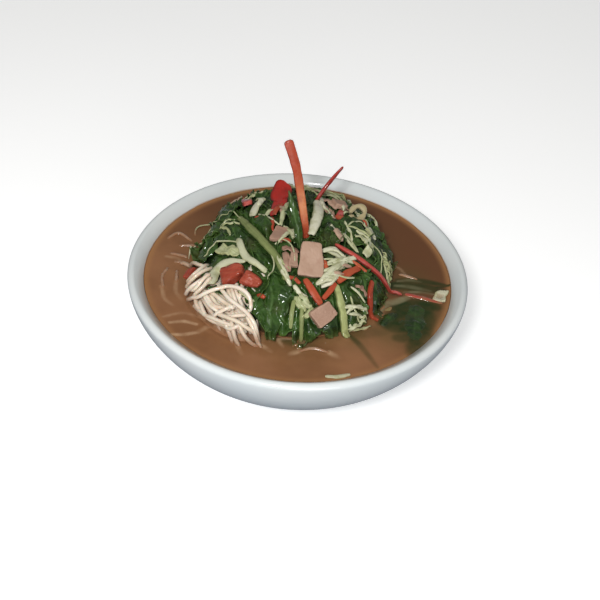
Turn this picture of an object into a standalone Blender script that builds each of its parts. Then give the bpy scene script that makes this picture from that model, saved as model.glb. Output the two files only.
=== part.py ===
"""A bowl of thukpa: broth, noodles and a mound of greens with its toppings.

Metres, +Z up. The bowl stands on z = 0 with its axis at x = y = 0. Places on the food are
(x, y, lift) in millimetres: lift is the distance from what the piece lies on, be it the
broth, the noodles or the greens, square to that surface.
"""

import math
import random
from collections import namedtuple

import bmesh
import bpy
from mathutils import Matrix, Vector, noise
from mathutils.bvhtree import BVHTree

MM = 0.001
GAP = 0.3 * MM
MERGE = 0.05 * MM
SLIVER = 0.005 * MM

# Bowl
RIM_RADIUS = 115 * MM
BOWL_HEIGHT = 74 * MM
FOOT_RADIUS = 45 * MM
FOOT_HEIGHT = 5 * MM
FOOT_WIDTH = 6 * MM
BODY_ROUNDNESS = 1.6
LIP_RADIUS = 3 * MM
INNER_RIM_RADIUS = 104.6 * MM
INNER_RIM_DROP = 5.5 * MM
INNER_FLOOR_RADIUS = 36 * MM
INNER_FLOOR_HEIGHT = 13 * MM
INNER_FLOOR_DISH = 1 * MM
FOOT_BEVEL = 1 * MM
LIP_POINTS = 6
LIP_START = 125
LIP_TURN = 25
BOWL_STEPS = 40
WALL_POINTS = 7

# Broth
BROTH_DROP = 7.2 * MM
BROTH_LEVEL = BOWL_HEIGHT - BROTH_DROP
MENISCUS = 0.7 * MM
MENISCUS_WIDTH = 2.5 * MM
WALL_CLEARANCE = 1.5 * GAP

# Heaps: centre, half sizes, height over the broth and turn of the long side
Heap = namedtuple("Heap", "x y half_x half_y height turn")
GREENS = Heap(-2.5 * MM, 7 * MM, 64 * MM, 75 * MM, 38 * MM, 0.0)
NOODLES = Heap(-46 * MM, -38 * MM, 42 * MM, 23 * MM, 17 * MM, math.radians(-53))
HEAP_DIP = 9 * MM
HEAP_UNDERSIDE = -0.35
UNEVEN = 3.0 * MM
UNEVEN_SCALE = 15 * MM
STEEPEST = 1.6

# Pieces
NOODLE_RADIUS = 1.5 * MM
SQUARENESS = 0.55
BLOCK_TAPER = 0.12
BLOCK_SOFTNESS = 0.18
BLOCK_GRAIN = 300
SHARP_ANGLE = math.radians(50)
MOST_SHELL = 3.0

COLOURS = {
    "glazed_white": ((0.72, 0.75, 0.74), 0.15),
    "broth": ((0.27, 0.12, 0.05), 0.12),
    "noodle": ((0.78, 0.66, 0.50), 0.40),
    "leaf_green": ((0.04, 0.16, 0.04), 0.35),
    "cabbage_pale": ((0.58, 0.62, 0.34), 0.38),
    "stem_green": ((0.26, 0.36, 0.12), 0.38),
    "carrot_red": ((0.55, 0.10, 0.04), 0.35),
    "pepper_red": ((0.42, 0.03, 0.02), 0.22),
    "tomato_red": ((0.45, 0.05, 0.03), 0.28),
    "cooked_meat": ((0.52, 0.35, 0.27), 0.60),
}

# Flat or square sticks: name, finish, width, thickness and route
STRIPS = (
    ("pepper_strip_back", "pepper_red", 3.0, 2.0, ((8, 34, 1), (13, 36, 12), (19, 38, 27))),
    ("pepper_curl_back", "pepper_red", 9.0, 2.4, ((-20, 12, 2), (-14, 26, 3), (-19, 40, 9), (-9, 45, 16))),
    ("pepper_strip_long", "pepper_red", 4.2, 2.2,
     ((22, -11, 3), (32, -15.5, 3.4), (44, -18, 3.6), (56, -17, 3.6), (69, -15.5, 1.6))),
    ("pepper_strip_floating", "pepper_red", 3.8, 1.6,
     ((72.5, -14.5, 0.9), (84, -17, 0.9), (98, -21.5, 0.8))),
    ("carrot_strip_side", "carrot_red", 3.6, 2.4,
     ((47, -25.5, 2), (46, -32, 2), (47, -39, 2), (54, -44, 1))),
    ("carrot_stick_side", "carrot_red", 5.0, 3.6, ((38, -23, 2), (31, -31, 2), (25, -39, 2))),
    ("carrot_stick_front", "carrot_red", 4.6, 3.4, ((4.5, -42.5, 2), (9.5, -48.5, 3), (15, -54, 3))),
    ("carrot_stick_branch", "carrot_red", 3.6, 2.8, ((21, -43, 2), (19, -47, 2), (17, -50, 2))),
    ("stem_strip_olive", "stem_green", 5.4, 2.0,
     ((-42, 16, 2), (-32, -1, 3), (-23, -16, 3), (-15, -26, 3), (-9, -38, 3), (-7, -44, 3))),
    ("cabbage_strip_long", "cabbage_pale", 5.8, 2.0,
     ((-40, -8, 3), (-37, -16, 4), (-33, -25, 4), (-27, -32, 4), (-20, -38, 3))),
    ("cabbage_strip_bent", "cabbage_pale", 6.4, 1.6,
     ((-34, -28, 2), (-44, -24, 2), (-51, -25, 2), (-54, -31, 2), (-55, -40, 2))),
    ("cabbage_strip_beige", "cabbage_pale", 5.4, 1.8, ((-27, 35, 2.5), (-31, 25, 2.5), (-33, 12, 2.5))),
    ("cabbage_stick_white", "cabbage_pale", 6.8, 3.0, ((9, 33, 3), (9.5, 14, 3.4), (9.5, -6, 3))),
    ("stem_front", "stem_green", 5.6, 3.0, ((24, -41, 2), (27, -48, 2), (31, -56, 2), (35, -62, 1))),
    ("stem_zigzag_upper", "cabbage_pale", 1.6, 1.4, ((33, -38, 2), (38, -38, 2), (43, -40, 2))),
    ("stem_zigzag_lower", "cabbage_pale", 1.6, 1.4, ((42, -43, 2), (38, -45, 2), (33, -48, 2))),
    ("cabbage_shred_top", "cabbage_pale", 2.4, 1.4, ((28, 2, 2), (32, -5, 2), (37, -12, 2))),
    ("cabbage_shred_side", "cabbage_pale", 3.0, 1.4, ((54, 6, 2), (54, -2, 2), (57, -6, 2), (61, -11, 2))),
    ("cabbage_shred_middle", "cabbage_pale", 4.2, 1.6, ((15, -20, 2), (21, -18, 2), (29, -20, 2))),
    ("cabbage_shred_low", "cabbage_pale", 3.8, 1.6, ((30, -23.5, 2), (21, -33.5, 2), (15, -44, 2))),
    ("cabbage_arc", "cabbage_pale", 3.0, 1.6, ((-2, -46, 2), (2, -50, 2), (7, -52, 2))),
    ("stem_yellow_left", "stem_green", 3.2, 1.8, ((-1, -54, 2), (-2, -60, 2), (-2, -66, 2))),
    ("stem_yellow_right", "stem_green", 2.8, 1.6, ((4, -56, 2), (4, -61, 2), (5, -68, 1))),
    ("stalk_floating", "stem_green", 3.6, 2.2, ((58, -34, 1), (61, -31, 1), (64, -28, 1))),
    ("cabbage_piece_front", "cabbage_pale", 3.4, 1.6, ((21, -97.5, 1), (29, -97, 1), (36, -94.5, 1))),
)

# Cut blocks: name, finish, (length, width, thickness), place, heading and extra pitch in degrees
BLOCKS = (
    ("meat_slab", "cooked_meat", (22, 15, 4.6), (7, -29, 6.0), 94, 16),
    ("meat_cube", "cooked_meat", (15.5, 11.5, 5.0), (16.5, -58, 4.5), 58, 0),
    ("meat_slice", "cooked_meat", (14, 8.5, 3.0), (-14, -8, 2.4), 75, 0),
    ("meat_bit_front", "cooked_meat", (10, 5, 2.6), (-4, -31, 2.2), 98, 0),
    ("meat_bit_back", "cooked_meat", (10, 8, 4.0), (24, 34, 2.4), 20, 0),
    ("pepper_bit_back", "pepper_red", (9, 5, 3.0), (25, 23, 2.2), 80, 0),
    ("pepper_piece_back", "pepper_red", (12, 6, 3.0), (-39, 37, 2.2), 108, 0),
    ("tomato_chunk_left", "tomato_red", (17, 12, 7.0), (-40.5, -35.5, 4.4), 8, 0),
    ("tomato_chunk_right", "tomato_red", (13, 9, 6.0), (-28, -42.5, 4.6), -35, 0),
    ("tomato_piece_edge", "tomato_red", (9, 7, 3.4), (-70, -23, 1.4), 60, 0),
    ("cabbage_chunk", "cabbage_pale", (13, 7, 2.4), (-46.8, -15.0, 3.1), -42, 0),
    ("cabbage_bit_side", "cabbage_pale", (8, 6, 2.6), (45, 15, 2.2), -50, 0),
    ("cabbage_bit_edge", "cabbage_pale", (11, 6, 2.0), (97.5, -13, 0.9), 72, 0),
)

CARROT_TALL_ROUTE = ((4, -8, -15), (2, -5, 8), (-2, 0, 28), (-6, 3, 46), (-12, 6, 63))
CARROT_TALL_WIDTH = (5.0, 7.4)
CARROT_TALL_THICKNESS = (4.0, 3.0)

RING_PLACE = (35, 30, 4.0)
RING_RADIUS = 4.8
RING_WIDTH = 4.2
RING_THICKNESS = 3.4
RING_OVAL = 0.12
RING_STEPS = 14
RING_START = 20
RING_TURN = 320

# Noodles that lie apart in the broth
LOOSE_NOODLES = (
    ((-93, 29, 0), (-87, 35, 0.4), (-78, 28, 0)),
    ((-83, 21, 0), (-75, 22, 0)),
    ((-88, 11, 0), (-79, 9, 0.2)),
    ((-84, 2, 0), (-78, 2, 0.4), (-73, -2, 0)),
    ((-89, -6, 0), (-91, -14, 0.2), (-89, -24, 0)),
    ((-82, -8, 0), (-81, -17, 0.3)),
    ((4, -77, -0.4), (13, -73.5, 0.4), (23, -76, -0.4)),
    ((71, 6, 0.2), (80, 3, 0)),
)

# Noodles that show on their heap: routes over the bare heap
HEAP_NOODLES = (
    ((-68, -42, -1), (-59, -46, 3), (-50, -48, 4), (-40, -50, 6), (-33, -55, 6), (-31, -62, 3),
     (-33, -66, -1)),
    ((-52, -46, -1), (-46, -52, 3), (-36, -60, 4), (-27, -70, 1)),
    ((-73, -17, -1), (-66, -20, 2), (-58, -16, 2), (-53, -12, -1)),
    ((-72, -27, -1), (-64, -30, 3), (-58, -24, 2), (-52, -22, -1)),
)
NOODLE_ROWS = 10
ROW_SPREAD = 1.5
ROW_REACH = 0.97
ROW_BEND = 0.18
ROW_LIFT = 1.2

# Leaves that show on the mound: (x, y), heading in degrees, length and width
MOUND_LEAVES = (
    ((-50, 22), 120, 26, 18), ((-55, 4), 200, 28, 20), ((-44, -6), 150, 24, 20),
    ((-26, 2), 60, 26, 16), ((-24, 32), 80, 24, 16), ((-4, 30), 95, 34, 12),
    ((17, 2), -60, 30, 15), ((27, 14), 10, 20, 14), ((50, 10), -40, 26, 16),
    ((57, -6), -70, 24, 14), ((43, -34), -60, 22, 14), ((-14, -54), -80, 28, 22),
    ((-1, -56), -60, 22, 18), ((-10, -18), 100, 22, 14), ((37, -8), -30, 20, 14),
)
SPREAD_LEAVES = 11
SPREAD_REACH = 0.97
SPREAD_LENGTH = (18, 27)
SPREAD_WIDTH = (11, 17)
SPREAD_TURN = 70
GOLDEN_ANGLE = math.pi * (3 - math.sqrt(5))
LEAF_THICKNESS = 0.8 * MM
LEAF_END = 0.35
LEAF_LIFT = 0.4
LEAF_CURL = 4.2
LEAF_TRIES = (1.0, 0.7, 0.45)
LEAF_GRID = (4, 2)
LEAF_MARGIN = 2.2 * MM
LEAF_TUCK = -0.6

# Leaves that lie in the broth: name, (x, y), heading in degrees, length, width, lift, curl and grid
FLOATING_LEAVES = (
    ("leaf_floating", (78, -41), -95, 42, 18, 0.9, 1.0, (7, 3)),
    ("leaf_small_floating", (61, -41), 235, 20, 8, 0.9, 0.6, (4, 2)),
)

# The noise that has a direction starts from the clock unless it is seeded too
NOISE_SEED = 1795403075
random.seed(7)
noise.seed_set(NOISE_SEED)


# ---------------------------------------------------------------- surfaces of the food

def heap_share(heap, x, y):
    """How much of the heap's height stands at this place, from 0 at its outline to 1."""
    turned = Matrix.Rotation(-heap.turn, 2) @ Vector((x - heap.x, y - heap.y))
    reach = (turned.x / heap.half_x) ** 2 + (turned.y / heap.half_y) ** 2
    return math.sqrt(max(0.0, 1.0 - reach))


def heap_height(heap, x, y):
    """Height of the bare heap over the broth."""
    share = heap_share(heap, x, y)
    bump = noise.noise(Vector((x, y, 0)) / UNEVEN_SCALE)
    return share * (heap.height + UNEVEN * bump)


def rest_height(x, y):
    return BROTH_LEVEL + max(heap_height(GREENS, x, y), heap_height(NOODLES, x, y))


def rest_normal(x, y):
    """Which way is out of the food here, never flatter than the steepest slope."""
    step = 2 * MM
    slope = Vector((
        rest_height(x + step, y) - rest_height(x - step, y),
        rest_height(x, y + step) - rest_height(x, y - step),
    )) / (2 * step)
    if slope.length > STEEPEST:
        slope *= STEEPEST / slope.length
    return Vector((-slope.x, -slope.y, 1)).normalized()


def on_food(place):
    """World position of an (x, y, lift) place in millimetres."""
    x, y, lift = (value * MM for value in place)
    return Vector((x, y, rest_height(x, y))) + rest_normal(x, y) * lift


def kept_dry(point, clearance):
    """The same point, lifted where it would come closer to the broth than the clearance."""
    return Vector((point.x, point.y, max(point.z, BROTH_LEVEL + clearance)))


# ---------------------------------------------------------------- scene and materials

def clear_scene():
    for obj in list(bpy.data.objects):
        bpy.data.objects.remove(obj)


def collection(name):
    found = bpy.data.collections.new(name)
    bpy.context.scene.collection.children.link(found)
    return found


def finish(name):
    """The named finish as a material, made once."""
    found = bpy.data.materials.get(name)
    if found:
        return found
    colour, roughness = COLOURS[name]
    found = bpy.data.materials.new(name)
    found.use_nodes = True
    shader = found.node_tree.nodes["Principled BSDF"]
    shader.inputs["Base Color"].default_value = (*colour, 1)
    shader.inputs["Roughness"].default_value = roughness
    shader.inputs["Metallic"].default_value = 0.0
    return found


def add_object(name, bm, finish_name):
    """A named node from a bmesh, shaded smooth with its sharp edges kept."""
    mesh = bpy.data.meshes.new(name)
    bmesh.ops.recalc_face_normals(bm, faces=bm.faces)
    bm.to_mesh(mesh)
    bm.free()
    mesh.materials.append(finish(finish_name))
    mesh.shade_smooth()
    mesh.set_sharp_from_angle(angle=SHARP_ANGLE)
    obj = bpy.data.objects.new(name, mesh)
    DISH.objects.link(obj)
    return obj


def as_helper(obj):
    """Moves an object to the cutters, unseen in a render."""
    for holder in list(obj.users_collection):
        holder.objects.unlink(obj)
    CUTTERS.objects.link(obj)
    obj.hide_render = True
    obj.display_type = "WIRE"
    return obj


def apply_modifiers(obj):
    bpy.context.view_layer.update()
    graph = bpy.context.evaluated_depsgraph_get()
    mesh = bpy.data.meshes.new_from_object(obj.evaluated_get(graph))
    obj.modifiers.clear()
    obj.data = mesh


# ---------------------------------------------------------------- shapes

def smooth_route(places, steps):
    """Evenly spaced places along a smooth curve through the given ones."""
    points = [Vector(place) for place in places]
    points = [2 * points[0] - points[1], *points, 2 * points[-1] - points[-2]]
    fine = []
    for before, start, end, after in zip(points, points[1:], points[2:], points[3:]):
        for k in range(12):
            t = k / 12
            fine.append(0.5 * (2 * start + (end - before) * t
                               + (2 * before - 5 * start + 4 * end - after) * t * t
                               + (3 * start - before - 3 * end + after) * t ** 3))
    fine.append(points[-2])
    lengths = [0.0]
    for start, end in zip(fine, fine[1:]):
        lengths.append(lengths[-1] + (end - start).length)
    route = []
    k = 0
    for i in range(steps + 1):
        target = lengths[-1] * i / steps
        while k < len(fine) - 2 and lengths[k + 1] < target:
            k += 1
        share = (target - lengths[k]) / (lengths[k + 1] - lengths[k])
        route.append(fine[k].lerp(fine[k + 1], min(1.0, share)))
    return route


def laid_route(places, steps):
    """World points over the food along a route, with kinks at a heap's foot eased."""
    points = [on_food(place) for place in smooth_route(places, steps)]
    eased = [points[0]]
    for before, here, after in zip(points, points[1:], points[2:]):
        eased.append(here.lerp((before + after) / 2, 0.5))
    return [*eased, points[-1]]


def sweep(name, finish_name, centres, outs, widths, thicknesses, sides=8):
    """A closed loft of rounded sections, wide across the outward direction at each centre."""
    bm = bmesh.new()
    rings = []
    last = len(centres) - 1
    for i, centre in enumerate(centres):
        ahead = (centres[min(i + 1, last)] - centres[max(i - 1, 0)]).normalized()
        across = ahead.cross(outs[i]).normalized()
        out = across.cross(ahead)
        ring = []
        for k in range(sides):
            angle = 2 * math.pi * (k + 0.5) / sides
            c, s = math.cos(angle), math.sin(angle)
            wide = math.copysign(abs(c) ** SQUARENESS, c) * widths[i] / 2
            thick = math.copysign(abs(s) ** SQUARENESS, s) * thicknesses[i] / 2
            ring.append(bm.verts.new(centre + across * wide + out * thick))
        rings.append(ring)
    for ring, after in zip(rings, rings[1:]):
        for k in range(sides):
            bm.faces.new((ring[k], ring[k - 1], after[k - 1], after[k]))
    bm.faces.new(rings[0])
    bm.faces.new(rings[-1])
    return add_object(name, bm, finish_name)


def end_taper(i, steps):
    """Ends a little narrower than the middle."""
    return 0.8 + 0.2 * math.sin(math.pi * min(1.0, max(0.0, i / steps)))


def strip(name, finish_name, width, thickness, places, steps=None, sides=6):
    """A cut strip or stick laid over the food."""
    if steps is None:
        steps = 2 * len(places) + 1
    centres = laid_route(places, steps)
    outs = [rest_normal(p.x, p.y) for p in centres]
    tapers = [end_taper(i, steps) for i in range(steps + 1)]
    widths = [width * MM * taper for taper in tapers]
    depths = [thickness * MM * taper for taper in tapers]
    return sweep(name, finish_name, centres, outs, widths, depths, sides)


def food_matrix(place, heading, pitch):
    """Stands local Z out of the food, with local X turned to the heading, then tips it up."""
    out = rest_normal(place[0] * MM, place[1] * MM)
    level = Vector((math.cos(heading), math.sin(heading), 0))
    side = out.cross(level).normalized()
    ahead = side.cross(out)
    turn = Matrix((ahead, side, out)).transposed()
    return Matrix.Translation(on_food(place)) @ (turn @ Matrix.Rotation(-pitch, 3, "Y")).to_4x4()


def block(name, finish_name, size, place, heading, pitch):
    """A cut block of meat or vegetable with softened, slightly uneven edges."""
    bm = bmesh.new()
    bmesh.ops.create_cube(bm, size=1.0)
    bmesh.ops.scale(bm, vec=Vector(size) * MM, verts=bm.verts)
    for corner in bm.verts:
        corner.co.y *= 1 - BLOCK_TAPER * math.copysign(1, corner.co.x)
    softness = BLOCK_SOFTNESS * min(size) * MM
    bmesh.ops.bevel(bm, geom=bm.edges[:], offset=softness, segments=1, affect="EDGES")
    for point in bm.verts:
        point.co += noise.noise_vector(point.co * BLOCK_GRAIN + Vector(size)) * softness / 2
    bmesh.ops.triangulate(bm, faces=bm.faces)
    obj = add_object(name, bm, finish_name)
    obj.matrix_world = food_matrix(place, math.radians(heading), math.radians(pitch))
    return obj


def leaf(name, finish_name, centre, heading, length, width, lift, curl, grid=LEAF_GRID, trees=()):
    """A thin wavy leaf draped over the food, pointed at its tip and tucked under what lies on it."""
    along = Vector((math.cos(math.radians(heading)), math.sin(math.radians(heading))))
    beside = Vector((-along.y, along.x))
    bm = bmesh.new()
    bmesh.ops.create_grid(bm, x_segments=grid[0], y_segments=grid[1], size=0.5)
    for point in bm.verts:
        u = point.co.x + 0.5
        v = 2 * point.co.y
        spread = LEAF_END + (1 - LEAF_END) * math.sin(math.pi * (0.12 + 0.84 * u)) ** 0.8
        wave = noise.noise(Vector((u * 2.6, v * 2.2, centre[0] * 0.37 + centre[1] * 0.11)))
        place = Vector(centre) + along * (u - 0.5) * length + beside * v * spread * width / 2
        rise = lift + curl * (0.25 + 0.75 * abs(v)) * (0.4 + u) * (0.6 + wave)
        spot = on_food((place.x, place.y, rise))
        if any(tree.find_nearest(spot, LEAF_MARGIN)[0] for tree in trees):
            spot = on_food((place.x, place.y, LEAF_TUCK))
        point.co = kept_dry(spot, GAP + LEAF_THICKNESS * 0.6)
    bmesh.ops.triangulate(bm, faces=bm.faces)
    obj = add_object(name, bm, finish_name)
    skin = obj.modifiers.new("thickness", "SOLIDIFY")
    skin.thickness = LEAF_THICKNESS
    skin.offset = 0.0
    apply_modifiers(obj)
    return obj


def noodle(name, points, sides=2):
    """A round noodle along world points, as a welded mesh."""
    curve = bpy.data.curves.new(name, "CURVE")
    curve.dimensions = "3D"
    curve.bevel_depth = NOODLE_RADIUS
    curve.bevel_resolution = sides
    curve.use_fill_caps = True
    spline = curve.splines.new("POLY")
    spline.points.add(len(points) - 1)
    for point, co in zip(spline.points, points):
        point.co = (*co, 1)
    drawn = bpy.data.objects.new(name, curve)
    DISH.objects.link(drawn)
    bpy.context.view_layer.update()
    graph = bpy.context.evaluated_depsgraph_get()
    mesh = bpy.data.meshes.new_from_object(drawn.evaluated_get(graph))
    bpy.data.objects.remove(drawn)
    bm = bmesh.new()
    bm.from_mesh(mesh)
    bpy.data.meshes.remove(mesh)
    bmesh.ops.remove_doubles(bm, verts=bm.verts, dist=MERGE)
    return add_object(name, bm, "noodle")


# ---------------------------------------------------------------- cutting and joining

def grown(obj, gap=GAP):
    """A cutter: the same solid with every face moved out by the gap."""
    bm = bmesh.new()
    bm.from_mesh(obj.data)
    bm.transform(obj.matrix_world)
    bm.normal_update()
    moves = [(v, v.normal * gap * min(MOST_SHELL, v.calc_shell_factor())) for v in bm.verts]
    for v, move in moves:
        v.co += move
    return as_helper(add_object("cut_" + obj.name, bm, "broth"))


def tree_of(obj):
    bm = bmesh.new()
    bm.from_mesh(obj.data)
    bm.transform(obj.matrix_world)
    tree = BVHTree.FromBMesh(bm)
    bm.free()
    return tree


def touches(obj, trees):
    own = tree_of(obj)
    return any(own.overlap(tree) for tree in trees)


def carve(obj, cutters):
    """Takes each cutter that reaches the object out of it."""
    for cutter in cutters:
        if not touches(obj, [tree_of(cutter)]):
            continue
        cut = obj.modifiers.new("pocket", "BOOLEAN")
        cut.operation = "DIFFERENCE"
        cut.solver = "EXACT"
        cut.object = cutter
        apply_modifiers(obj)
    keep_largest_body(obj)


def fuse(obj, pieces):
    """Joins the pieces to the object, and drops loose scraps and sealed hollows."""
    holder = collection("fused")
    for piece in pieces:
        for home in list(piece.users_collection):
            home.objects.unlink(piece)
        holder.objects.link(piece)
    join = obj.modifiers.new("pieces", "BOOLEAN")
    join.operation = "UNION"
    join.solver = "EXACT"
    join.operand_type = "COLLECTION"
    join.collection = holder
    apply_modifiers(obj)
    for piece in pieces:
        bpy.data.objects.remove(piece)
    bpy.data.collections.remove(holder)
    keep_largest_body(obj)


def keep_largest_body(obj):
    """Drops every body but the one with the most faces, and cleans what a Boolean leaves."""
    bm = bmesh.new()
    bm.from_mesh(obj.data)
    bmesh.ops.dissolve_degenerate(bm, dist=SLIVER, edges=bm.edges)
    unseen = set(bm.faces)
    bodies = []
    while unseen:
        queue = [unseen.pop()]
        body = []
        while queue:
            face = queue.pop()
            body.append(face)
            for edge in face.edges:
                for other in edge.link_faces:
                    if other in unseen:
                        unseen.remove(other)
                        queue.append(other)
        bodies.append(body)
    bodies.sort(key=len, reverse=True)
    for body in bodies[1:]:
        bmesh.ops.delete(bm, geom=body, context="FACES")
    bmesh.ops.triangulate(bm, faces=bm.faces)
    bm.to_mesh(obj.data)
    bm.free()


# ---------------------------------------------------------------- bowl and broth

def wall_curve(top_radius, top_drop, low_radius, low_height, roundness, count):
    """(radius, height) points down a rounded wall, from its rim to its floor."""
    points = []
    for k in range(count + 1):
        angle = math.pi / 2 * (1 - k / count)
        radius = low_radius + (top_radius - low_radius) * math.sin(angle) ** (2 / roundness)
        top = BOWL_HEIGHT - top_drop
        height = top - (top - low_height) * math.cos(angle) ** (2 / roundness)
        points.append((radius, height))
    return points


def inner_wall():
    return wall_curve(INNER_RIM_RADIUS, INNER_RIM_DROP, INNER_FLOOR_RADIUS, INNER_FLOOR_HEIGHT,
                      BODY_ROUNDNESS, WALL_POINTS)


def lip():
    """Round lip from the inner bevel over the crest to the outer wall."""
    centre = (RIM_RADIUS - LIP_RADIUS, BOWL_HEIGHT - LIP_RADIUS)
    points = []
    for k in range(LIP_POINTS):
        angle = math.radians(LIP_START - LIP_TURN * k)
        points.append((centre[0] + LIP_RADIUS * math.cos(angle), centre[1] + LIP_RADIUS * math.sin(angle)))
    return points


def turned(name, finish_name, profile):
    """A solid turned about the bowl's axis from a profile that ends on the axis."""
    bm = bmesh.new()
    points = [bm.verts.new((radius, 0, height)) for radius, height in profile]
    for start, end in zip(points, points[1:]):
        bm.edges.new((start, end))
    mesh = bpy.data.meshes.new(name)
    bm.to_mesh(mesh)
    bm.free()
    mesh.materials.append(finish(finish_name))
    obj = bpy.data.objects.new(name, mesh)
    DISH.objects.link(obj)
    turn = obj.modifiers.new("turn", "SCREW")
    turn.steps = BOWL_STEPS
    turn.render_steps = BOWL_STEPS
    turn.use_merge_vertices = True
    turn.merge_threshold = MERGE
    turn.use_normal_calculate = True
    return obj


def make_bowl():
    outer = wall_curve(RIM_RADIUS, LIP_RADIUS, FOOT_RADIUS, FOOT_HEIGHT, BODY_ROUNDNESS, WALL_POINTS + 1)
    foot_inside = FOOT_RADIUS - FOOT_WIDTH
    profile = [(0, INNER_FLOOR_HEIGHT - INNER_FLOOR_DISH)]
    profile += reversed(inner_wall())
    profile += lip()
    profile += outer[1:]
    profile += [
        (FOOT_RADIUS - FOOT_BEVEL, FOOT_BEVEL), (FOOT_RADIUS - 2 * FOOT_BEVEL, 0),
        (foot_inside + FOOT_BEVEL, 0), (foot_inside, FOOT_BEVEL),
        (foot_inside - FOOT_BEVEL, FOOT_HEIGHT - 2 * FOOT_BEVEL), (0, FOOT_HEIGHT - FOOT_BEVEL),
    ]
    return turned("bowl", "glazed_white", profile)


def broth_edge_radius():
    """Radius of the inner wall at the broth's level."""
    wall = inner_wall()
    for (radius, height), (lower_radius, lower_height) in zip(wall, wall[1:]):
        if lower_height < BROTH_LEVEL <= height:
            share = (height - BROTH_LEVEL) / (height - lower_height)
            return radius + (lower_radius - radius) * share
    return INNER_RIM_RADIUS


def make_broth():
    edge = broth_edge_radius() - WALL_CLEARANCE
    profile = [
        (0, BROTH_LEVEL),
        (edge - MENISCUS_WIDTH, BROTH_LEVEL),
        (edge - MENISCUS_WIDTH / 3, BROTH_LEVEL + MENISCUS * 0.3),
        (edge, BROTH_LEVEL + MENISCUS),
    ]
    for radius, height in inner_wall():
        if height < BROTH_LEVEL - 1 * MM:
            profile.append((radius - WALL_CLEARANCE, height + GAP))
    profile.append((0, INNER_FLOOR_HEIGHT - INNER_FLOOR_DISH + GAP))
    broth = turned("broth", "broth", profile)
    apply_modifiers(broth)
    return broth


# ---------------------------------------------------------------- heaps

def heap_core(name, finish_name, heap, segments, rings):
    """The bare heap: a flattened ball, cut flat below where it dips into the broth."""
    bm = bmesh.new()
    bmesh.ops.create_uvsphere(bm, u_segments=segments, v_segments=rings, radius=1.0)
    bmesh.ops.bisect_plane(bm, geom=[*bm.verts, *bm.edges, *bm.faces], clear_outer=True,
                           plane_co=(0, 0, HEAP_UNDERSIDE), plane_no=(0, 0, -1))
    bmesh.ops.holes_fill(bm, edges=[edge for edge in bm.edges if edge.is_boundary])
    turn = Matrix.Rotation(heap.turn, 2)
    for point in bm.verts:
        flat = turn @ Vector((point.co.x * heap.half_x, point.co.y * heap.half_y))
        x, y = flat.x + heap.x, flat.y + heap.y
        if point.co.z > 0:
            height = heap_height(heap, x, y)
        else:
            height = -HEAP_DIP * point.co.z / HEAP_UNDERSIDE
        point.co = (x, y, BROTH_LEVEL + height)
    bmesh.ops.triangulate(bm, faces=bm.faces)
    return add_object(name, bm, finish_name)


def spread_spots(count):
    """Leaf spots spread evenly over the mound by the golden angle."""
    spots = []
    for k in range(count):
        angle = GOLDEN_ANGLE * k
        reach = SPREAD_REACH * math.sqrt((k + 0.5) / count)
        x = GREENS.x / MM + math.cos(angle) * reach * GREENS.half_x / MM
        y = GREENS.y / MM + math.sin(angle) * reach * GREENS.half_y / MM
        heading = math.degrees(angle) + random.uniform(-SPREAD_TURN, SPREAD_TURN)
        length = random.uniform(*SPREAD_LENGTH)
        width = random.uniform(*SPREAD_WIDTH)
        spots.append(((x, y), heading, length, width))
    return spots


def mound_leaves(trees):
    """The leaves that show, each made smaller or left out where a topping is in its way."""
    spots = [*MOUND_LEAVES, *spread_spots(SPREAD_LEAVES)]
    leaves = []
    for k, (centre, heading, length, width) in enumerate(spots):
        for scale in LEAF_TRIES:
            made = leaf(f"leaf_{k}", "leaf_green", centre, heading, length * scale, width * scale,
                        LEAF_LIFT, LEAF_CURL, trees=trees)
            if not touches(made, trees):
                leaves.append(made)
                break
            bpy.data.objects.remove(made)
    return leaves


def is_clear(point, trees):
    """Whether a noodle here stays off the toppings and outside the greens."""
    if point.z < BROTH_LEVEL + heap_height(GREENS, point.x, point.y) + NOODLE_RADIUS + GAP:
        if heap_share(GREENS, point.x, point.y) > 0:
            return False
    reach = NOODLE_RADIUS + 2 * GAP
    return all(tree.find_nearest(point, reach)[0] is None for tree in trees)


def longest_clear(points, trees):
    """The longest unbroken stretch of the points where nothing is in the way."""
    best = []
    stretch = []
    for point in points:
        if is_clear(point, trees):
            stretch.append(point)
        else:
            stretch = []
        if len(stretch) > len(best):
            best = list(stretch)
    return best


def heap_noodles(trees):
    """Noodles that show on their heap: the named ones, then rows laid side by side."""
    routes = list(HEAP_NOODLES)
    turn = Matrix.Rotation(NOODLES.turn, 2)
    for row in range(NOODLE_ROWS):
        side = (row / (NOODLE_ROWS - 1) - 0.5) * ROW_SPREAD
        reach = math.sqrt(1 - side * side) * ROW_REACH
        bend = random.uniform(-ROW_BEND, ROW_BEND)
        route = []
        for share in (-1, -0.5, 0, 0.5, 1):
            along = share * reach * NOODLES.half_x
            over = (side + bend * (1 - share * share)) * NOODLES.half_y
            flat = turn @ Vector((along, over))
            lift = ROW_LIFT * (1 - 2 * share * share) + random.uniform(-0.3, 0.5)
            route.append(((flat.x + NOODLES.x) / MM, (flat.y + NOODLES.y) / MM, lift))
        routes.append(route)
    noodles = []
    for k, route in enumerate(routes):
        points = [kept_dry(p, GAP + NOODLE_RADIUS) for p in laid_route(route, 3 * len(route) - 3)]
        points = longest_clear(points, trees)
        if len(points) > 2:
            noodles.append(noodle(f"heap_noodle_{k}", points, sides=1))
    return noodles


# ---------------------------------------------------------------- toppings

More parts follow.
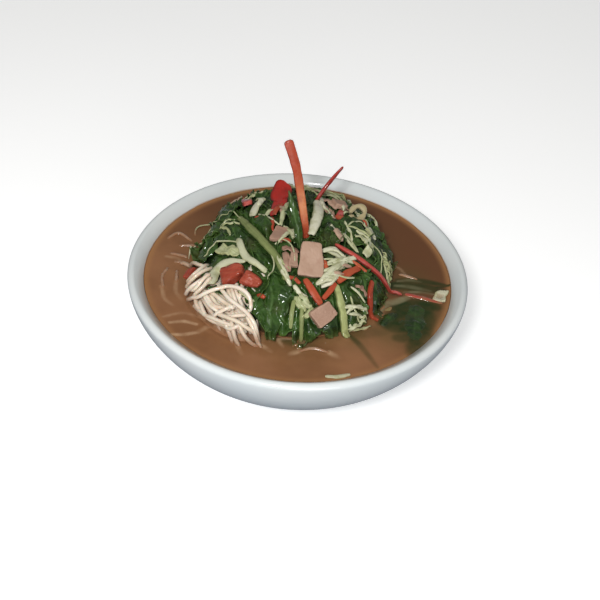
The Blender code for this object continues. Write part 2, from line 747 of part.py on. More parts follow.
def make_carrot_tall():
    """The long carrot stick that stands in the mound and leans back."""
    base = Vector((CARROT_TALL_ROUTE[0][0] * MM, CARROT_TALL_ROUTE[0][1] * MM))
    foot = rest_height(base.x, base.y)
    centres = [Vector((x * MM, y * MM, foot + z * MM)) for x, y, z in smooth_route(CARROT_TALL_ROUTE, 12)]
    outs = [Vector((0.15, -1, 0.6))] * len(centres)
    shares = [i / (len(centres) - 1) for i in range(len(centres))]
    low, high = CARROT_TALL_WIDTH
    widths = [(low + (high - low) * share) * MM for share in shares]
    low, high = CARROT_TALL_THICKNESS
    depths = [(low + (high - low) * share) * MM for share in shares]
    return sweep("carrot_stick_tall", "carrot_red", centres, outs, widths, depths, sides=6)


def make_ring():
    """A curl of cabbage rib standing on its edge, open at one side."""
    centre = on_food(RING_PLACE)
    out = Vector((0.2, -0.6, 0.75)).normalized()
    right = Vector((1, 0, 0)).cross(out).cross(out).normalized()
    up = out.cross(right)
    centres = []
    outs = []
    for k in range(RING_STEPS + 1):
        angle = math.radians(RING_START + RING_TURN * k / RING_STEPS)
        spoke = right * math.cos(angle) + up * math.sin(angle)
        centres.append(centre + spoke * RING_RADIUS * MM * (1 + RING_OVAL * math.sin(2 * angle)))
        outs.append(spoke)
    widths = [RING_WIDTH * MM] * len(centres)
    depths = [RING_THICKNESS * MM] * len(centres)
    return sweep("cabbage_ring", "cabbage_pale", centres, outs, widths, depths, sides=6)


def make_toppings():
    toppings = [make_carrot_tall(), make_ring()]
    for name, finish_name, width, thickness, places in STRIPS:
        toppings.append(strip(name, finish_name, width, thickness, places))
    for name, finish_name, size, place, heading, pitch in BLOCKS:
        toppings.append(block(name, finish_name, size, place, heading, pitch))
    for name, centre, heading, length, width, lift, curl, grid in FLOATING_LEAVES:
        toppings.append(leaf(name, "leaf_green", centre, heading, length, width, lift, curl, grid))
    return toppings


def make_loose_noodles():
    made = []
    for k, route in enumerate(LOOSE_NOODLES):
        made.append(noodle(f"noodle_loose_{k + 1}", laid_route(route, 3 * len(route) - 2), sides=1))
    return made


def main():
    make_bowl()
    broth = make_broth()
    greens = heap_core("greens_heap", "leaf_green", GREENS, 28, 14)
    noodles = heap_core("noodle_heap", "noodle", NOODLES, 20, 10)
    toppings = make_toppings() + make_loose_noodles()

    cutters = [grown(piece) for piece in toppings]
    greens_cutter = grown(greens)
    nest_cutter = grown(noodles)
    carve(noodles, [greens_cutter, *cutters])
    carve(greens, cutters)

    trees = [tree_of(cutter) for cutter in cutters]
    fuse(noodles, heap_noodles([*trees, tree_of(greens_cutter)]))
    noodle_cutter = grown(noodles)
    fuse(greens, mound_leaves([*trees, tree_of(noodle_cutter)]))
    carve(broth, [greens_cutter, nest_cutter, *cutters])


clear_scene()
DISH = collection("thukpa")
CUTTERS = collection("cutters")
main()
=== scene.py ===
"""Looks of a bowl of thukpa: glaze, broth, noodles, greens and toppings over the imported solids.

Metres, +Z up. Places on the food are (x, y, lift) in millimetres, as in the solids: lift is the
distance from the bare heap or the broth that a piece lies on, square to that surface.
"""

import math
import random
from collections import namedtuple

import bmesh
import bpy
import numpy as np
from mathutils import Matrix, Vector, noise
from mathutils.bvhtree import BVHTree


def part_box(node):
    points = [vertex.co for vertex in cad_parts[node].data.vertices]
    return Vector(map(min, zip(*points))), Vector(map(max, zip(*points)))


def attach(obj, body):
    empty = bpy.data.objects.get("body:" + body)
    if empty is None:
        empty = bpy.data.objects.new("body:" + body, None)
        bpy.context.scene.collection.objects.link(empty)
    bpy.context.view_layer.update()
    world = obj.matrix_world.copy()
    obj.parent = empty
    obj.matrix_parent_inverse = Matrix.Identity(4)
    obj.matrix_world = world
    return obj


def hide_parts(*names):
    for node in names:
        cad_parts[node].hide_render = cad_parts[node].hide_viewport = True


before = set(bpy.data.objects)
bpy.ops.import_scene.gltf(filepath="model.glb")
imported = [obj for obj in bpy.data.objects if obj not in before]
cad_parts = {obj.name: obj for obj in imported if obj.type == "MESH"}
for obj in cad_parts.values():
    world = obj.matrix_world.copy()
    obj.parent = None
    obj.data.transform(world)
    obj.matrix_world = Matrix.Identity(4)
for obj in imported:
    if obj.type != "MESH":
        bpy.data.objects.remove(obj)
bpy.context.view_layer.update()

MM = 0.001
# Seeds of the random draws, and of the noise that has a direction
NOODLE_SEED = 11
LEAF_SEED = 5
SHRED_SEED = 9
THREAD_SEED = 3
NOISE_SEED = 4
noise.seed_set(NOISE_SEED)

# Bowl and broth, from the frame and the solids' own named sizes
BOWL_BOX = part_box("bowl")
RIM_RADIUS = BOWL_BOX[1].x
BOWL_HEIGHT = BOWL_BOX[1].z
FOOT_RADIUS = 45 * MM
FOOT_HEIGHT = 5 * MM
FOOT_WIDTH = 6 * MM
FOOT_BEVEL = 1 * MM
BODY_ROUNDNESS = 1.6
LIP_RADIUS = 3 * MM
LIP_START = math.radians(125)
LIP_STEPS = 14
INNER_RIM_RADIUS = 104.6 * MM
INNER_RIM_DROP = 5.5 * MM
INNER_FLOOR_RADIUS = 36 * MM
INNER_FLOOR_HEIGHT = 13 * MM
INNER_FLOOR_DISH = 1 * MM
BOWL_STEPS = 192
WALL_POINTS = 28
MENISCUS = 0.7 * MM
MENISCUS_WIDTH = 2.5 * MM
BROTH_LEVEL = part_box("broth")[1].z - MENISCUS
BROTH_CELLS = 190
BROTH_WALL_POINTS = 12
WALL_CLEARANCE = 0.2 * MM
# How the broth climbs what stands in it: search, height and fade
CONTACT_SEARCH = 3 * MM
CONTACT_CLIMB = 0.45 * MM
CONTACT_FADE = 0.9 * MM
SWAY = 0.05 * MM
# The broth's wall starts this far under its top
BROTH_WALL_START = 1.5 * MM

# Heaps: centre, half sizes, height over the broth and turn of the long side
Heap = namedtuple("Heap", "x y half_x half_y height turn")
GREENS = Heap(-2.5 * MM, 7 * MM, 64 * MM, 75 * MM, 38 * MM, 0.0)
NOODLES = Heap(-46 * MM, -38 * MM, 42 * MM, 23 * MM, 17 * MM, math.radians(-53))
UNEVEN = 3.0 * MM
UNEVEN_SCALE = 15 * MM
STEEPEST = 1.6
SLOPE_STEP = 2 * MM
CORE_UNDERSIDE = -6 * MM
CORE_SHARE = 0.97
CORE_GRID = (96, 44)
CORE_TINT = 0.3
BROTH_COLOUR = (0.275, 0.128, 0.060)

STRAND_RADIUS = 1.35 * MM
STRAND_STEP = 1.1 * MM
STRAND_GAP = 0.1 * MM
STACK_MOST = 2.4 * MM
CLEAR_SEARCH = 4 * MM
SQUARENESS = 0.55
CRISP = 0.9
CARROT_CREASE = math.radians(28)
DRAPE_REACH = 7 * MM
DRAPE_CLEARANCE = 0.7 * MM
ROUTE_STEP = 1.0 * MM
LEAF_THICKNESS = 0.4 * MM
LEAF_GRID = (42, 26)
LEAF_NEAR = 3.5 * MM
LEAF_ROOM = 0.6
LEAF_UNDER = -0.8
LEAF_TUCK = -1.0
FLOATING_GRID = (56, 32)
UPRIGHT_GRID = (48, 12)
VEIN_PITCH = 4.6
VEIN_SLANT = 0.9
SHRED_THICKNESS = 0.7 * MM
SHRED_COLUMNS = 10
THREAD_WIDTHS = (0.8, 1.4)

# Strips: node, finish, width, thickness, tint from 0 to 1, route, share of the width at each end,
# and share of the finish's unevenness
Strip = namedtuple("Strip", "node finish width depth tint route ends calm", defaults=((1, 1), 1))
STRIPS = [Strip(*row) for row in (
    ("pepper_strip_back", "pepper_red", 3, 2, 0.2, ((8, 34, 1), (13, 36, 12), (19, 38, 27)), (1.2, 0.6)),
    ("pepper_curl_back", "pepper_skin", 9, 2.4, 0, ((-20, 11, 2), (-16, 24, 2.5), (-15.5, 33, 3.5),
     (-14.5, 37, 7), (-11, 39.5, 11))),
    ("pepper_strip_long", "pepper_red", 4.2, 2.2, 0.7, ((22, -11, 3), (32, -15.5, 3.4), (44, -18, 3.6),
     (56, -17.5, 3.8), (64, -17.2, 4.8), (70, -18.2, 2.6)), (0.9, 0.7)),
    ("pepper_strip_floating", "pepper_red", 3.8, 1.6, 0.4, ((72.5, -14.5, 0.4), (84, -17, 0.1),
     (98, -21.5, -0.1))),
    ("carrot_strip_side", "carrot_red", 3.6, 2.4, 0, ((47, -25.5, 2), (46, -32, 2), (47, -39, 2),
     (54, -44, 1)), (1.2, 0.7)),
    ("carrot_stick_side", "carrot_red", 5, 3.6, 0.15, ((38, -23, 2), (31, -31, 2), (25, -39, 2))),
    ("carrot_stick_front", "carrot_red", 4.6, 3.4, 0.1, ((4.5, -42.5, 2), (9.5, -48.5, 3), (15, -54, 3))),
    ("carrot_stick_branch", "carrot_red", 3.6, 2.8, 0.05, ((23.5, -40.5, 2.4), (20, -46, 2.8),
     (16, -51, 3))),
    ("stem_strip_olive", "stem_green", 5.4, 2, 0.15, ((-42, 16, 2), (-32, -1, 3), (-23, -16, 3),
     (-15, -26, 3), (-9, -38, 3), (-7, -44, 3))),
    ("cabbage_strip_long", "cabbage_pale", 5.8, 2, 0.45, ((-40, -8, 3), (-37, -16, 4), (-33, -25, 4),
     (-27, -32, 4), (-19, -38, 3)), (0.95, 0.7), 0.5),
    ("cabbage_strip_bent", "cabbage_pale", 6.8, 1.6, 0.35, ((-33, -28, 2.6), (-44, -24, 2.6),
     (-51, -25, 3.4), (-54, -31, 3.4), (-55, -41, 3)), (0.5, 1.5), 0.5),
    ("cabbage_strip_beige", "cabbage_pale", 6.4, 1.8, 0.12, ((-27, 35, 3.4), (-31, 25, 3.4),
     (-33, 12, 3)), (1.3, 0.8), 0.35),
    ("cabbage_stick_white", "cabbage_pale", 10.5, 3, 0.04, ((9, 33, 3.4), (10, 14, 4), (6.5, -8, 3.4)),
     (0.75, 0.7), 0.3),
    ("stem_front", "stem_green", 5.6, 3, 0.9, ((24, -41, 2), (27, -48, 2), (31, -56, 2), (35, -62, 1))),
    ("stem_zigzag_upper", "cabbage_pale", 1.6, 1.4, 0.4, ((33, -38, 2), (38, -38, 2), (43, -40, 2))),
    ("stem_zigzag_lower", "cabbage_pale", 1.6, 1.4, 0.3, ((42, -43, 2), (38, -45, 2), (33, -48, 2))),
    ("cabbage_shred_top", "cabbage_pale", 2.4, 1.4, 0.6, ((28, 2, 2), (32, -5, 2), (37, -12, 2))),
    ("cabbage_shred_side", "cabbage_pale", 3, 1.4, 0.8, ((54, 6, 2), (54, -2, 2), (57, -6, 2),
     (61, -11, 2))),
    ("cabbage_shred_middle", "cabbage_pale", 4.2, 1.6, 0.35, ((15, -20, 2), (21, -18, 2), (29, -20, 2))),
    ("cabbage_shred_low", "cabbage_pale", 3.8, 1.6, 0.45, ((30, -23.5, 2), (21, -33.5, 2), (15, -44, 2))),
    ("cabbage_arc", "cabbage_pale", 3, 1.6, 0.2, ((-2, -46, 2), (2, -50, 2), (7, -52, 2))),
    ("stem_yellow_left", "stem_green", 3.2, 1.8, 0.3, ((-1, -54, 2), (-2, -60, 2), (-2, -66, 2))),
    ("stem_yellow_right", "stem_green", 2.8, 1.6, 0.25, ((4, -56, 2), (4, -61, 2), (5, -68, 0.6))),
    ("stalk_floating", "stem_green", 3.6, 2.2, 0.2, ((58, -34, -0.4), (61, -31, -0.1), (64, -28, -0.4))),
    ("cabbage_piece_front", "cabbage_pale", 3.4, 1.6, 0.45, ((21, -97.5, 1), (29, -97, 1),
     (36, -94.5, 1))),
)]

# Blocks: node, finish, (length, width, thickness), place, heading, pitch and tint
Block = namedtuple("Block", "node finish size place heading pitch tint")
BLOCKS = [Block(*row) for row in (
    ("meat_slab", "cooked_meat", (22, 15, 4.6), (7, -29, 6), 94, 16, 0.55),
    ("meat_cube", "cooked_meat", (15.5, 11.5, 5), (16.5, -58, 4.5), 58, 0, 0.28),
    ("meat_slice", "cooked_meat", (14, 8.5, 3), (-14, -8, 2.4), 75, 0, 0.3),
    ("meat_bit_front", "cooked_meat", (10, 5, 2.6), (-4, -31, 2.2), 98, 0, 0.4),
    ("meat_bit_back", "cooked_meat", (10, 8, 4), (24, 34, 2.4), 20, 0, 0.4),
    ("pepper_bit_back", "pepper_red", (9, 5, 3), (25, 23, 2.2), 80, 0, 0.3),
    ("pepper_piece_back", "pepper_red", (12, 6, 3), (-39, 37, 2.6), 108, 0, 1),
    ("tomato_chunk_left", "tomato_red", (16, 12, 7), (-39, -35.8, 4.4), 8, 0, 0.4),
    ("tomato_chunk_right", "tomato_red", (13, 9, 6), (-28, -42.5, 4.6), -35, 0, 0.7),
    ("tomato_piece_edge", "tomato_red", (9, 7, 3.4), (-70, -23, 1.4), 60, 0, 0.2),
    ("cabbage_chunk", "cabbage_pale", (13, 7, 2.4), (-46.8, -15, 3.1), -42, 0, 0.85),
    ("cabbage_bit_side", "cabbage_pale", (8, 6, 2.6), (45, 15, 2.2), -50, 0, 0.1),
    ("cabbage_bit_edge", "cabbage_pale", (12, 7.5, 2), (97, -13.5, 1), 72, 0, 0.22),
)]

# The tall carrot stick: x, y and height over its foot, and its size at foot and top
CARROT_TALL_ROUTE = ((4, -8, -15), (2, -5, 8), (-2, 0, 28), (-6, 3, 46), (-12, 6, 63))
CARROT_TALL_WIDTH = (4.4, 6.2)
CARROT_TALL_DEPTH = (3.6, 2.7)
CARROT_TALL_FACING = Vector((0.15, -1, 0.6))

RING_PLACE = (35, 30, 5.0)
RING_FACING = Vector((0.13, -0.62, 0.77)).normalized()
RING_RADIUS = 4.8 * MM
RING_WIDTH = 4.8 * MM
RING_DEPTH = 3.4 * MM
RING_OVAL = 0.12
RING_START = math.radians(20)
RING_TURN = math.radians(350)
RING_STEPS = 60
CURL_FACING = Vector((-0.04, -0.80, 0.60))

LOOSE_NOODLES = (
    ((-93, 29, 0), (-87, 35, 0.4), (-78, 28, 0)), ((-83, 21, 0), (-75, 22, 0)),
    ((-88, 11, 0), (-79, 9, 0.2)), ((-84, 2, 0), (-78, 2, 0.4), (-73, -2, 0)),
    ((-89, -6, 0), (-91, -14, 0.2), (-89, -24, 0)), ((-82, -8, 0), (-81, -17, 0.3)),
    ((4, -77, -0.4), (13, -73.5, 0.4), (23, -76, -0.4)), ((71, 6, 0.2), (80, 3, 0)),
)
NOODLE_END = 2.5
NOODLE_END_LIFT = -2.2
NOODLE_DIP = Vector((0, 0, -0.5))
# Rows of noodles under them: how many, and their lift
NOODLE_ROWS = ((18, -4.6), (14, -3.2))
NOODLE_FLATTEN = 4.5

# Noodles that show on their heap, from the lowest up
SHOWN_NOODLES = (
    ((-58, -46, 0), (-50, -56, 2), (-40, -59, 2)), ((-55, -45, 1), (-47, -53, 3), (-38, -60, 2)),
    ((-59, -47, -1), (-52, -56, 2), (-45, -61, 0)), ((-64, -43, 0), (-62, -50, 2), (-57, -57, 0)),
    ((-51, -61, 0), (-44, -60, 3), (-37, -57, 1)), ((-45, -40, 1), (-42, -50, 3), (-37, -57, 1)),
    ((-42, -39, 1), (-40, -50, 3), (-36, -58, 0)), ((-38, -40, 1), (-37, -48, 3), (-33, -56, 0)),
    ((-34, -42, 1), (-34, -47, 2), (-36, -52, 0)),
    ((-66, -47, -1), (-56, -58, 2), (-40, -67, 3), (-29, -71, -1)),
    ((-62, -49, -1), (-54, -60, 2), (-42, -68, -2)), ((-52, -61, 0), (-46, -65, 2), (-36, -71, -3)),
    ((-46, -62, 1), (-36, -64, 4), (-28, -61, 0)), ((-43, -68, 0), (-37, -70, 3), (-29, -67, 1)),
    ((-44, -65, 1), (-40, -70, 1), (-37, -75, -3)), ((-39, -66, 1), (-36, -72, 2), (-31, -78, -3)),
    ((-35, -68, 1), (-29, -73, 2), (-17, -75, -3)), ((-30, -64, 1), (-25, -70, 3), (-19, -76, -3)),
    ((-48, -61, 1), (-38, -66, 4), (-28, -70, 3), (-20, -72, -3)),
    ((-72, -29, 0), (-66, -29, 3), (-61, -21, 3), (-60, -14, -1)),
    ((-72, -33, 0), (-65, -33, 4), (-59, -27, 4), (-56, -20, 0)),
    ((-72, -37, 0), (-65, -38, 4), (-59, -36, 4), (-55, -27, 1)),
    ((-68, -39, 0), (-62, -41, 4), (-56, -33, 2)), ((-66, -43, 0), (-60, -44, 4), (-54, -37, 2)),
    ((-86, 3, -1), (-76, 0, 1.2), (-66, -16, 2), (-59, -22, 0)),
    ((-49, -44, 2), (-43, -53, 5), (-36, -58, 5), (-27, -66, 5), (-21, -73, -2)),
    ((-71, -40, -1), (-62, -47, 3), (-50, -47, 5), (-40, -43, 7), (-30, -48, 7), (-26, -55, 5),
     (-30, -62, 2)),
)

# The leaf that stands by the tall carrot stick: x, y and height over its foot
UPRIGHT_LEAF = ((0, -16, -2), (-2.5, -10, 10), (-6.5, -5, 22), (-9.5, 0, 31))
UPRIGHT_HALF_WIDTH = 3.3

# Leaves that show on the mound: (x, y), heading in degrees, length, width, lift and brightness
Leaf = namedtuple("Leaf", "centre heading length width lift tint")
LAID_LEAVES = [Leaf(*row) for row in (
    ((-63, 4), -62, 32, 17, 1.2, 0.75), ((-50, 24), -55, 50, 13, 2.2, 0.5),
    ((-52, 44), 120, 26, 18, 1.6, 0.25), ((-27, -8), -52, 44, 22, 3, 0.45),
    ((-20, -33), -40, 24, 16, 2.4, 0.55), ((-22, 30), 70, 20, 17, 1.2, 0.1),
    ((-43, 2), -70, 30, 16, 2, 0.3), ((-4, 14), 100, 36, 13, 2.6, 0.35), ((17, 0), -70, 38, 18, 2.6, 0.1),
    ((30, 12), 12, 32, 14, 2.4, 0.15), ((49, -2), -88, 28, 13, 2.6, 0),
    ((40, -27), -50, 20, 13, 2.2, 0.7), ((51, -29), -72, 26, 14, 1.6, 0.1),
    ((-14, -53), -82, 30, 24, 2.8, 0.6), ((-2, -57), -60, 20, 16, 1.6, 0.9),
    ((-24, -50), -75, 24, 15, 2, 0.4), ((22, -48), -70, 20, 15, 1.4, 0.4),
    ((34, -43), -60, 22, 16, 1, 0.2), ((26, 34), 60, 24, 16, 1.4, 0.15),
    ((-38, -22), -60, 26, 15, 1, 0.1), ((4, -46), -85, 22, 14, 1.2, 0.7), ((56, 10), -80, 20, 12, 1, 0.2),
    ((-50, 26), 100, 18, 13, 3.4, 0.35), ((-22, 38), 20, 18, 14, 0.6, 0.05),
    ((20, 3), -20, 24, 12, 3.4, 0.05), ((33, 7), -30, 20, 10, 3.4, 0.2),
    ((13, -16), 60, 16, 10, 2.6, 0.3), ((-22, -44), -80, 18, 14, 3.2, 0.75),
    ((-6, -62), -15, 24, 11, 1, 0.8), ((11, -60), 10, 24, 11, 0.8, 0.35),
    ((27, -55), 25, 22, 10, 0.8, 0.15), ((40, -48), 35, 20, 10, 0.8, 0.2),
    ((-20, -58), -25, 20, 11, 1, 0.5),
)]
FLOATING_LEAVES = (
    ("leaf_floating", Leaf((78, -41), -95, 42, 20, 0.3, 0.05)),
    ("leaf_small_floating", Leaf((61, -41), 235, 20, 9, 0.4, 0.10)),
)
SPREAD_LEAVES = 58
SPREAD_REACH = 0.96
BACK_START = 32
BACK_DROP = 1.8
SKIRT_LEAVES = 26
SKIRT_REACH = 0.94
SKIRT_FRONT = -30
GOLDEN_ANGLE = math.pi * (3 - math.sqrt(5))

# What lies just under the broth, by kind: half widths at start, middle and end, strength at start
# and end, and route
Sunk = namedtuple("Sunk", "half_widths strength route")
SUNK = {
    "noodle_under": (
        ((1.6, 1.9, 1.6), (0.75, 0.55), ((-79, -59), (-70, -57), (-62, -59))),
        ((1.4, 1.6, 1.4), (0.3, 0.2), ((-84, -54), (-72, -49), (-60, -53))),
        ((1.6, 2, 1.6), (0.7, 0.45), ((-76, -70), (-68, -69), (-60, -66))),
        ((2.2, 2.4, 2.2), (0.4, 0.2), ((-60, -66), (-53, -60), (-46, -64))),
        ((1.5, 1.7, 1.4), (0.6, 0.45), ((-10, -67), (1, -66))),
        ((1.5, 1.6, 1.2), (0.6, 0.2), ((-10, -67), (-6, -74))),
        ((1.8, 2, 1.6), (0.55, 0.1), ((-35, -74), (-31, -83))),
        ((1.8, 2, 1.6), (0.55, 0.1), ((-19, -74), (-13, -79))),
        ((1.4, 1.6, 1.4), (0.1, 0.4), ((60, 14), (69, 14), (74, 6))),
        ((2.2, 2.6, 2), (0.6, 0.1), ((23, -76), (29, -80))),
        ((2, 2.6, 2.2), (0.1, 0.6), ((-2, -80), (4, -77))),
        ((1.6, 1.8, 1.6), (0.4, 0.2), ((-90, -24), (-86, -36), (-80, -42))),
        ((1.6, 1.8, 1.6), (0.45, 0.1), ((-81, -17), (-80, -28), (-75, -36))),
        ((1.6, 1.8, 1.6), (0.35, 0.25), ((-92, 8), (-84, 6), (-78, 0))),
        ((2.6, 3.4, 2.6), (0.3, 0.1), ((-24, -58), (-21, -64), (-20, -70))),
    ),
    "leaf_under": (
        ((2.4, 2.8, 1.6), (0.8, 0.35), ((33, -56), (42, -67), (53, -86))),
        ((6, 8, 4), (0.9, 0.7), ((64, -6), (78, -5), (99, -8))),
        ((3, 4, 1.6), (0.6, 0.9), ((68, 0), (84, 1), (103, -2))),
        ((2, 1.6, 1.2), (0.85, 0.95), ((94, -5), (100, -3), (104, -1))),
        ((7, 9, 6), (1, 0.9), ((66, -30), (78, -25), (92, -25))),
        ((11, 12, 8), (1, 0.85), ((83, -28), (81, -46), (77, -70))),
        ((8, 9, 6), (0.95, 0.9), ((73, -30), (65, -38), (57, -44))),
        ((7, 11, 9), (0.9, 1), ((60, -46), (70, -46), (82, -46))),
        ((5, 8, 7), (0.6, 0.8), ((66, -58), (74, -57), (84, -54))),
        ((6, 8, 5), (0.5, 0.2), ((36, -56), (48, -54), (58, -52))),
        ((5, 6, 3), (0.6, 0.15), ((-6, -66), (4, -70), (14, -71))),
        ((0.8, 1, 0.8), (0.6, 0.5), ((-60, 72), (-55, 77), (-49, 76))),
    ),
    "stem_under": (
        ((3.6, 4.4, 2.8), (0.95, 0.8), ((54, -34), (60, -26), (74, -18))),
        ((1.2, 1.6, 1), (0.6, 0.5), ((72, -12), (84, -11), (95, -13))),
        ((1.4, 2.6, 1.2), (0.5, 0.3), ((66, -6), (76, -6), (90, -9))),
        ((1.2, 1.8, 1), (0.5, 0.2), ((68, -1), (76, 1), (84, 0))),
        ((2.2, 2.6, 1.4), (0.7, 0.2), ((0, -64), (6, -68), (10, -74))),
    ),
}
# Where the greens stain the broth: x, y, reach and strength
OLIVE_SHADE = ((40, -62, 12, 0.35), (62, -54, 14, 0.55), (86, -36, 16, 0.60), (74, 0, 16, 0.50),
               (4, -68, 12, 0.40))

# Flat shreds and frills: width, tint, ruffle, twist at both ends in degrees, and route
Ribbon = namedtuple("Ribbon", "width tint ruffle twist route")
SHREDS = (
    (3.4, 0.3, 0.4, (-20, 40), ((14, -22, 3), (22, -17, 4.4), (30, -20, 3))),
    (2.8, 0.3, 0.3, (0, 50), ((38, -16, 2.5), (30, -21, 4.5), (21, -29, 4))),
    (3.4, 0.4, 0.4, (20, -20), ((30, -22, 3.4), (21, -33, 5), (12, -44, 3))),
    (2.6, 0.15, 0.6, (40, -10), ((12, -43, 3), (17, -39, 4.6), (24, -37, 3))),
    (3, 0.15, 0.6, (-20, 30), ((14, -40, 3), (19, -36, 4.4), (26, -35, 3))),
    (2, 0.45, 0.5, (-30, 30), ((17, -30, 2.8), (22, -25, 4.8), (29, -18, 3))),
    (2.2, 0.5, 0.6, (30, 60), ((31, -49, 1.4), (38, -45, 3), (45, -42, 1.5))),
    (2, 0.45, 0.7, (20, 50), ((33, -51, 1.2), (40, -47, 2.6), (46, -45, 1))),
    (2.6, 0.6, 0.7, (10, 40), ((34, -54, 0.8), (41, -50, 2), (46, -47, 0.6))),
    (2, 0.8, 0.7, (0, 30), ((35, -56, 0.4), (43, -53, 1.2), (49, -49, 0.2))),
    (3.4, 0.9, 1.2, (0, 80), ((52, 5, 1.8), (55, 3, 3.4), (57, -3, 2))),
    (3.4, 1, 1.3, (30, -40), ((52, -5, 2), (57, -3, 3.6), (61, -8, 1.5))),
    (3, 0.85, 1.2, (60, 0), ((59, 6, 1.5), (60, 1, 2.8), (56, -4, 2))),
    (7, 0.5, 0.4, (30, -10), ((34, 2, 3.4), (41, 3, 4.6), (44, -5, 4.4), (41, -12, 3))),
    (2.8, 0.45, 0.5, (10, 30), ((34, 5, 2.6), (40, 5, 3.6), (45, -1, 3.6), (44, -9, 2.4))),
    (5, 0.15, 0.5, (20, -30), ((40, 19, 1.6), (45, 19, 3), (48, 11, 2))),
    (3.6, 0.05, 0.4, (0, 60), ((12, 40, 2), (13, 30, 3.6), (19, 16, 3))),
    (3, 0.2, 0.5, (0, 50), ((17, 2, 3), (23, 2, 4), (28, 0, 3))),
    (2.2, 0.45, 0.6, (0, 60), ((-13, -28, 2.8), (-9, -36, 4.2), (-4, -46, 2.8))),
    (2.8, 0.3, 0.4, (20, 0), ((-10, -38, 3), (-7, -42, 4), (-4, -47, 2.6))),
    (1.6, 0.9, 0.4, (0, 60), ((-52, 8, 2), (-47, 3, 4), (-45, -4, 2.4))),
    (1.6, 0.8, 0.4, (40, 10), ((-57, 10, 2), (-49, 9, 4), (-40, 7, 3))),
    (3.2, 0.8, 0.3, (10, 30), ((-9, 26, 3), (-12, 14, 4.2), (-14, 0, 3))),
    (2.6, 0.4, 0.6, (0, -50), ((-8, -2, 3), (-5, -6, 4.2), (-1, -12, 3))),
    (2.2, 0.7, 0.6, (20, -30), ((-12, 0, 3), (-7, -5, 4), (-5, -13, 3))),
    (5, 0.8, 1.4, (10, -30), ((3, -50, 2), (5, -54, 3.6), (9, -57, 2.4))),
    (4.4, 0.95, 1.4, (10, -30), ((0, -52, 2), (2, -56, 3.2), (6, -59, 1.6))),
    (3.2, 1, 1.2, (-10, 30), ((10, -56, 2), (8, -60, 2.4), (4, -62, 1.2))),
    (2.4, 0.4, 0.6, (20, 60), ((33, 38, 1), (40, 33, 2.4), (46, 24, 1))),
    (2.4, 0.6, 0.6, (-20, 30), ((10, 58, 1), (22, 56, 2.4), (30, 49, 1))),
    (2.4, 0.3, 0.6, (0, 50), ((-46, 58, 1), (-36, 60, 2.4), (-24, 62, 1))),
    (4, 0.2, 0.4, (30, 60), ((-31, 36, 3), (-27, 31, 4.4), (-29, 24, 3))),
    (2.6, 0.5, 0.6, (20, 70), ((-36, -44, 3), (-30, -50, 3.4), (-25, -53, 2))),
    (7.6, 0.85, 0.3, (0, 10), ((-47, -14, 3.2), (-42, -17, 3), (-38, -21, 2.4))),
)
# Scraps of meat and onion among the shreds
SCRAPS = (
    (9, 0.55, 0.4, (10, -20), ((13, 39, 1.6), (19, 36, 2.6), (24, 30, 2.4))),
    (6.5, 0.8, 0.4, (20, 0), ((15, 30, 2), (18, 22, 3), (20, 15, 2))),
    (6, 0.35, 0.4, (0, 30), ((21, 40, 1.6), (26, 37, 2.6), (31, 34, 1.6))),
    (5, 0.9, 0.4, (-10, 30), ((20, 0, 3), (24, -3, 4.4), (27, -7, 3.4))),
    (4.6, 0.2, 0.4, (0, 20), ((-9, -26, 2.6), (-7, -33, 3.6), (-6, -39, 2.6))),
    (5.6, 0, 0.3, (0, 10), ((-11, -22, 2.2), (-5, -23, 3.2), (-1, -24, 2.4))),
    (3.4, 0.9, 0.4, (30, 0), ((-52, 44, 2), (-48, 50, 3), (-43, 46, 2))),
    (3.6, 0.85, 0.5, (20, 40), ((18, -35, 3), (23, -34, 4), (28, -33, 3))),
    (4, 0.6, 0.5, (0, 40), ((-16, 22, 3), (-12, 18, 4), (-13, 10, 3))),
    (4.6, 1, 0.3, (0, 20), ((1, 60, 1), (7, 58, 2), (14, 58, 1))),
    (3, 0.5, 0.5, (0, 40), ((24, -28, 3), (28, -26, 4), (33, -25, 3))),
    (6, 0.4, 0.4, (0, 20), ((-22, 62, 1.6), (-17, 65, 2.6), (-11, 66, 1.6))),
    (6.5, 0.7, 0.4, (0, 20), ((30, 52, 1.6), (35, 50, 2.6), (41, 46, 1.6))),
    (3, 0.1, 0.4, (0, 40), ((36, -36, 2), (40, -34, 2.8), (44, -36, 1.8))),
)
# Bits of carrot and pepper among them
RED_BITS = (
    (3.4, 0.03, 0.2, (0, 20), ((-31, 9, 2.6), (-27, 8, 3.6), (-23, 6, 2.8))),
    (3.2, 0.07, 0.2, (0, 20), ((-12, -13, 2.6), (-9, -15, 3.4), (-6, -17, 2.6))),
    (3, 0.21, 0.2, (0, 20), ((15, -27, 3), (17, -30, 4), (18, -34, 3))),
    (4.4, 0.32, 0.2, (0, 10), ((22, 20, 2.6), (25, 18, 3.8), (28, 19, 2.8))),
    (3.4, 0.1, 0.3, (20, 0), ((-13, 26, 3), (-16, 18, 4.4), (-18, 10, 3))),
    (2.2, 0, 0.2, (0, 20), ((-19, 6, 3), (-19, 0, 3.6), (-18, -6, 3))),
    (2.4, 0.07, 0.2, (0, 20), ((-6, -42, 2.6), (-2, -43, 3.6), (2, -45, 2.6))),
    (2.6, 0.03, 0.2, (0, 20), ((-24, -50, 2.6), (-21, -51, 3.2), (-18, -53, 2.4))),
    (2, 0.21, 0.2, (0, 20), ((34, 22, 2), (39, 20, 3), (43, 20, 2))),
    (1.8, 0.28, 0.2, (0, 20), ((33, -20, 3), (37, -22, 4), (42, -23, 3))),
    (3.4, 0.2, 0.2, (0, 20), ((2, 70, 1.6), (9, 71, 2.6), (16, 69, 1.6))),
    (3, 0.1, 0.2, (0, 20), ((-46, 50, 1.6), (-41, 54, 2.6), (-36, 58, 1.6))),
)
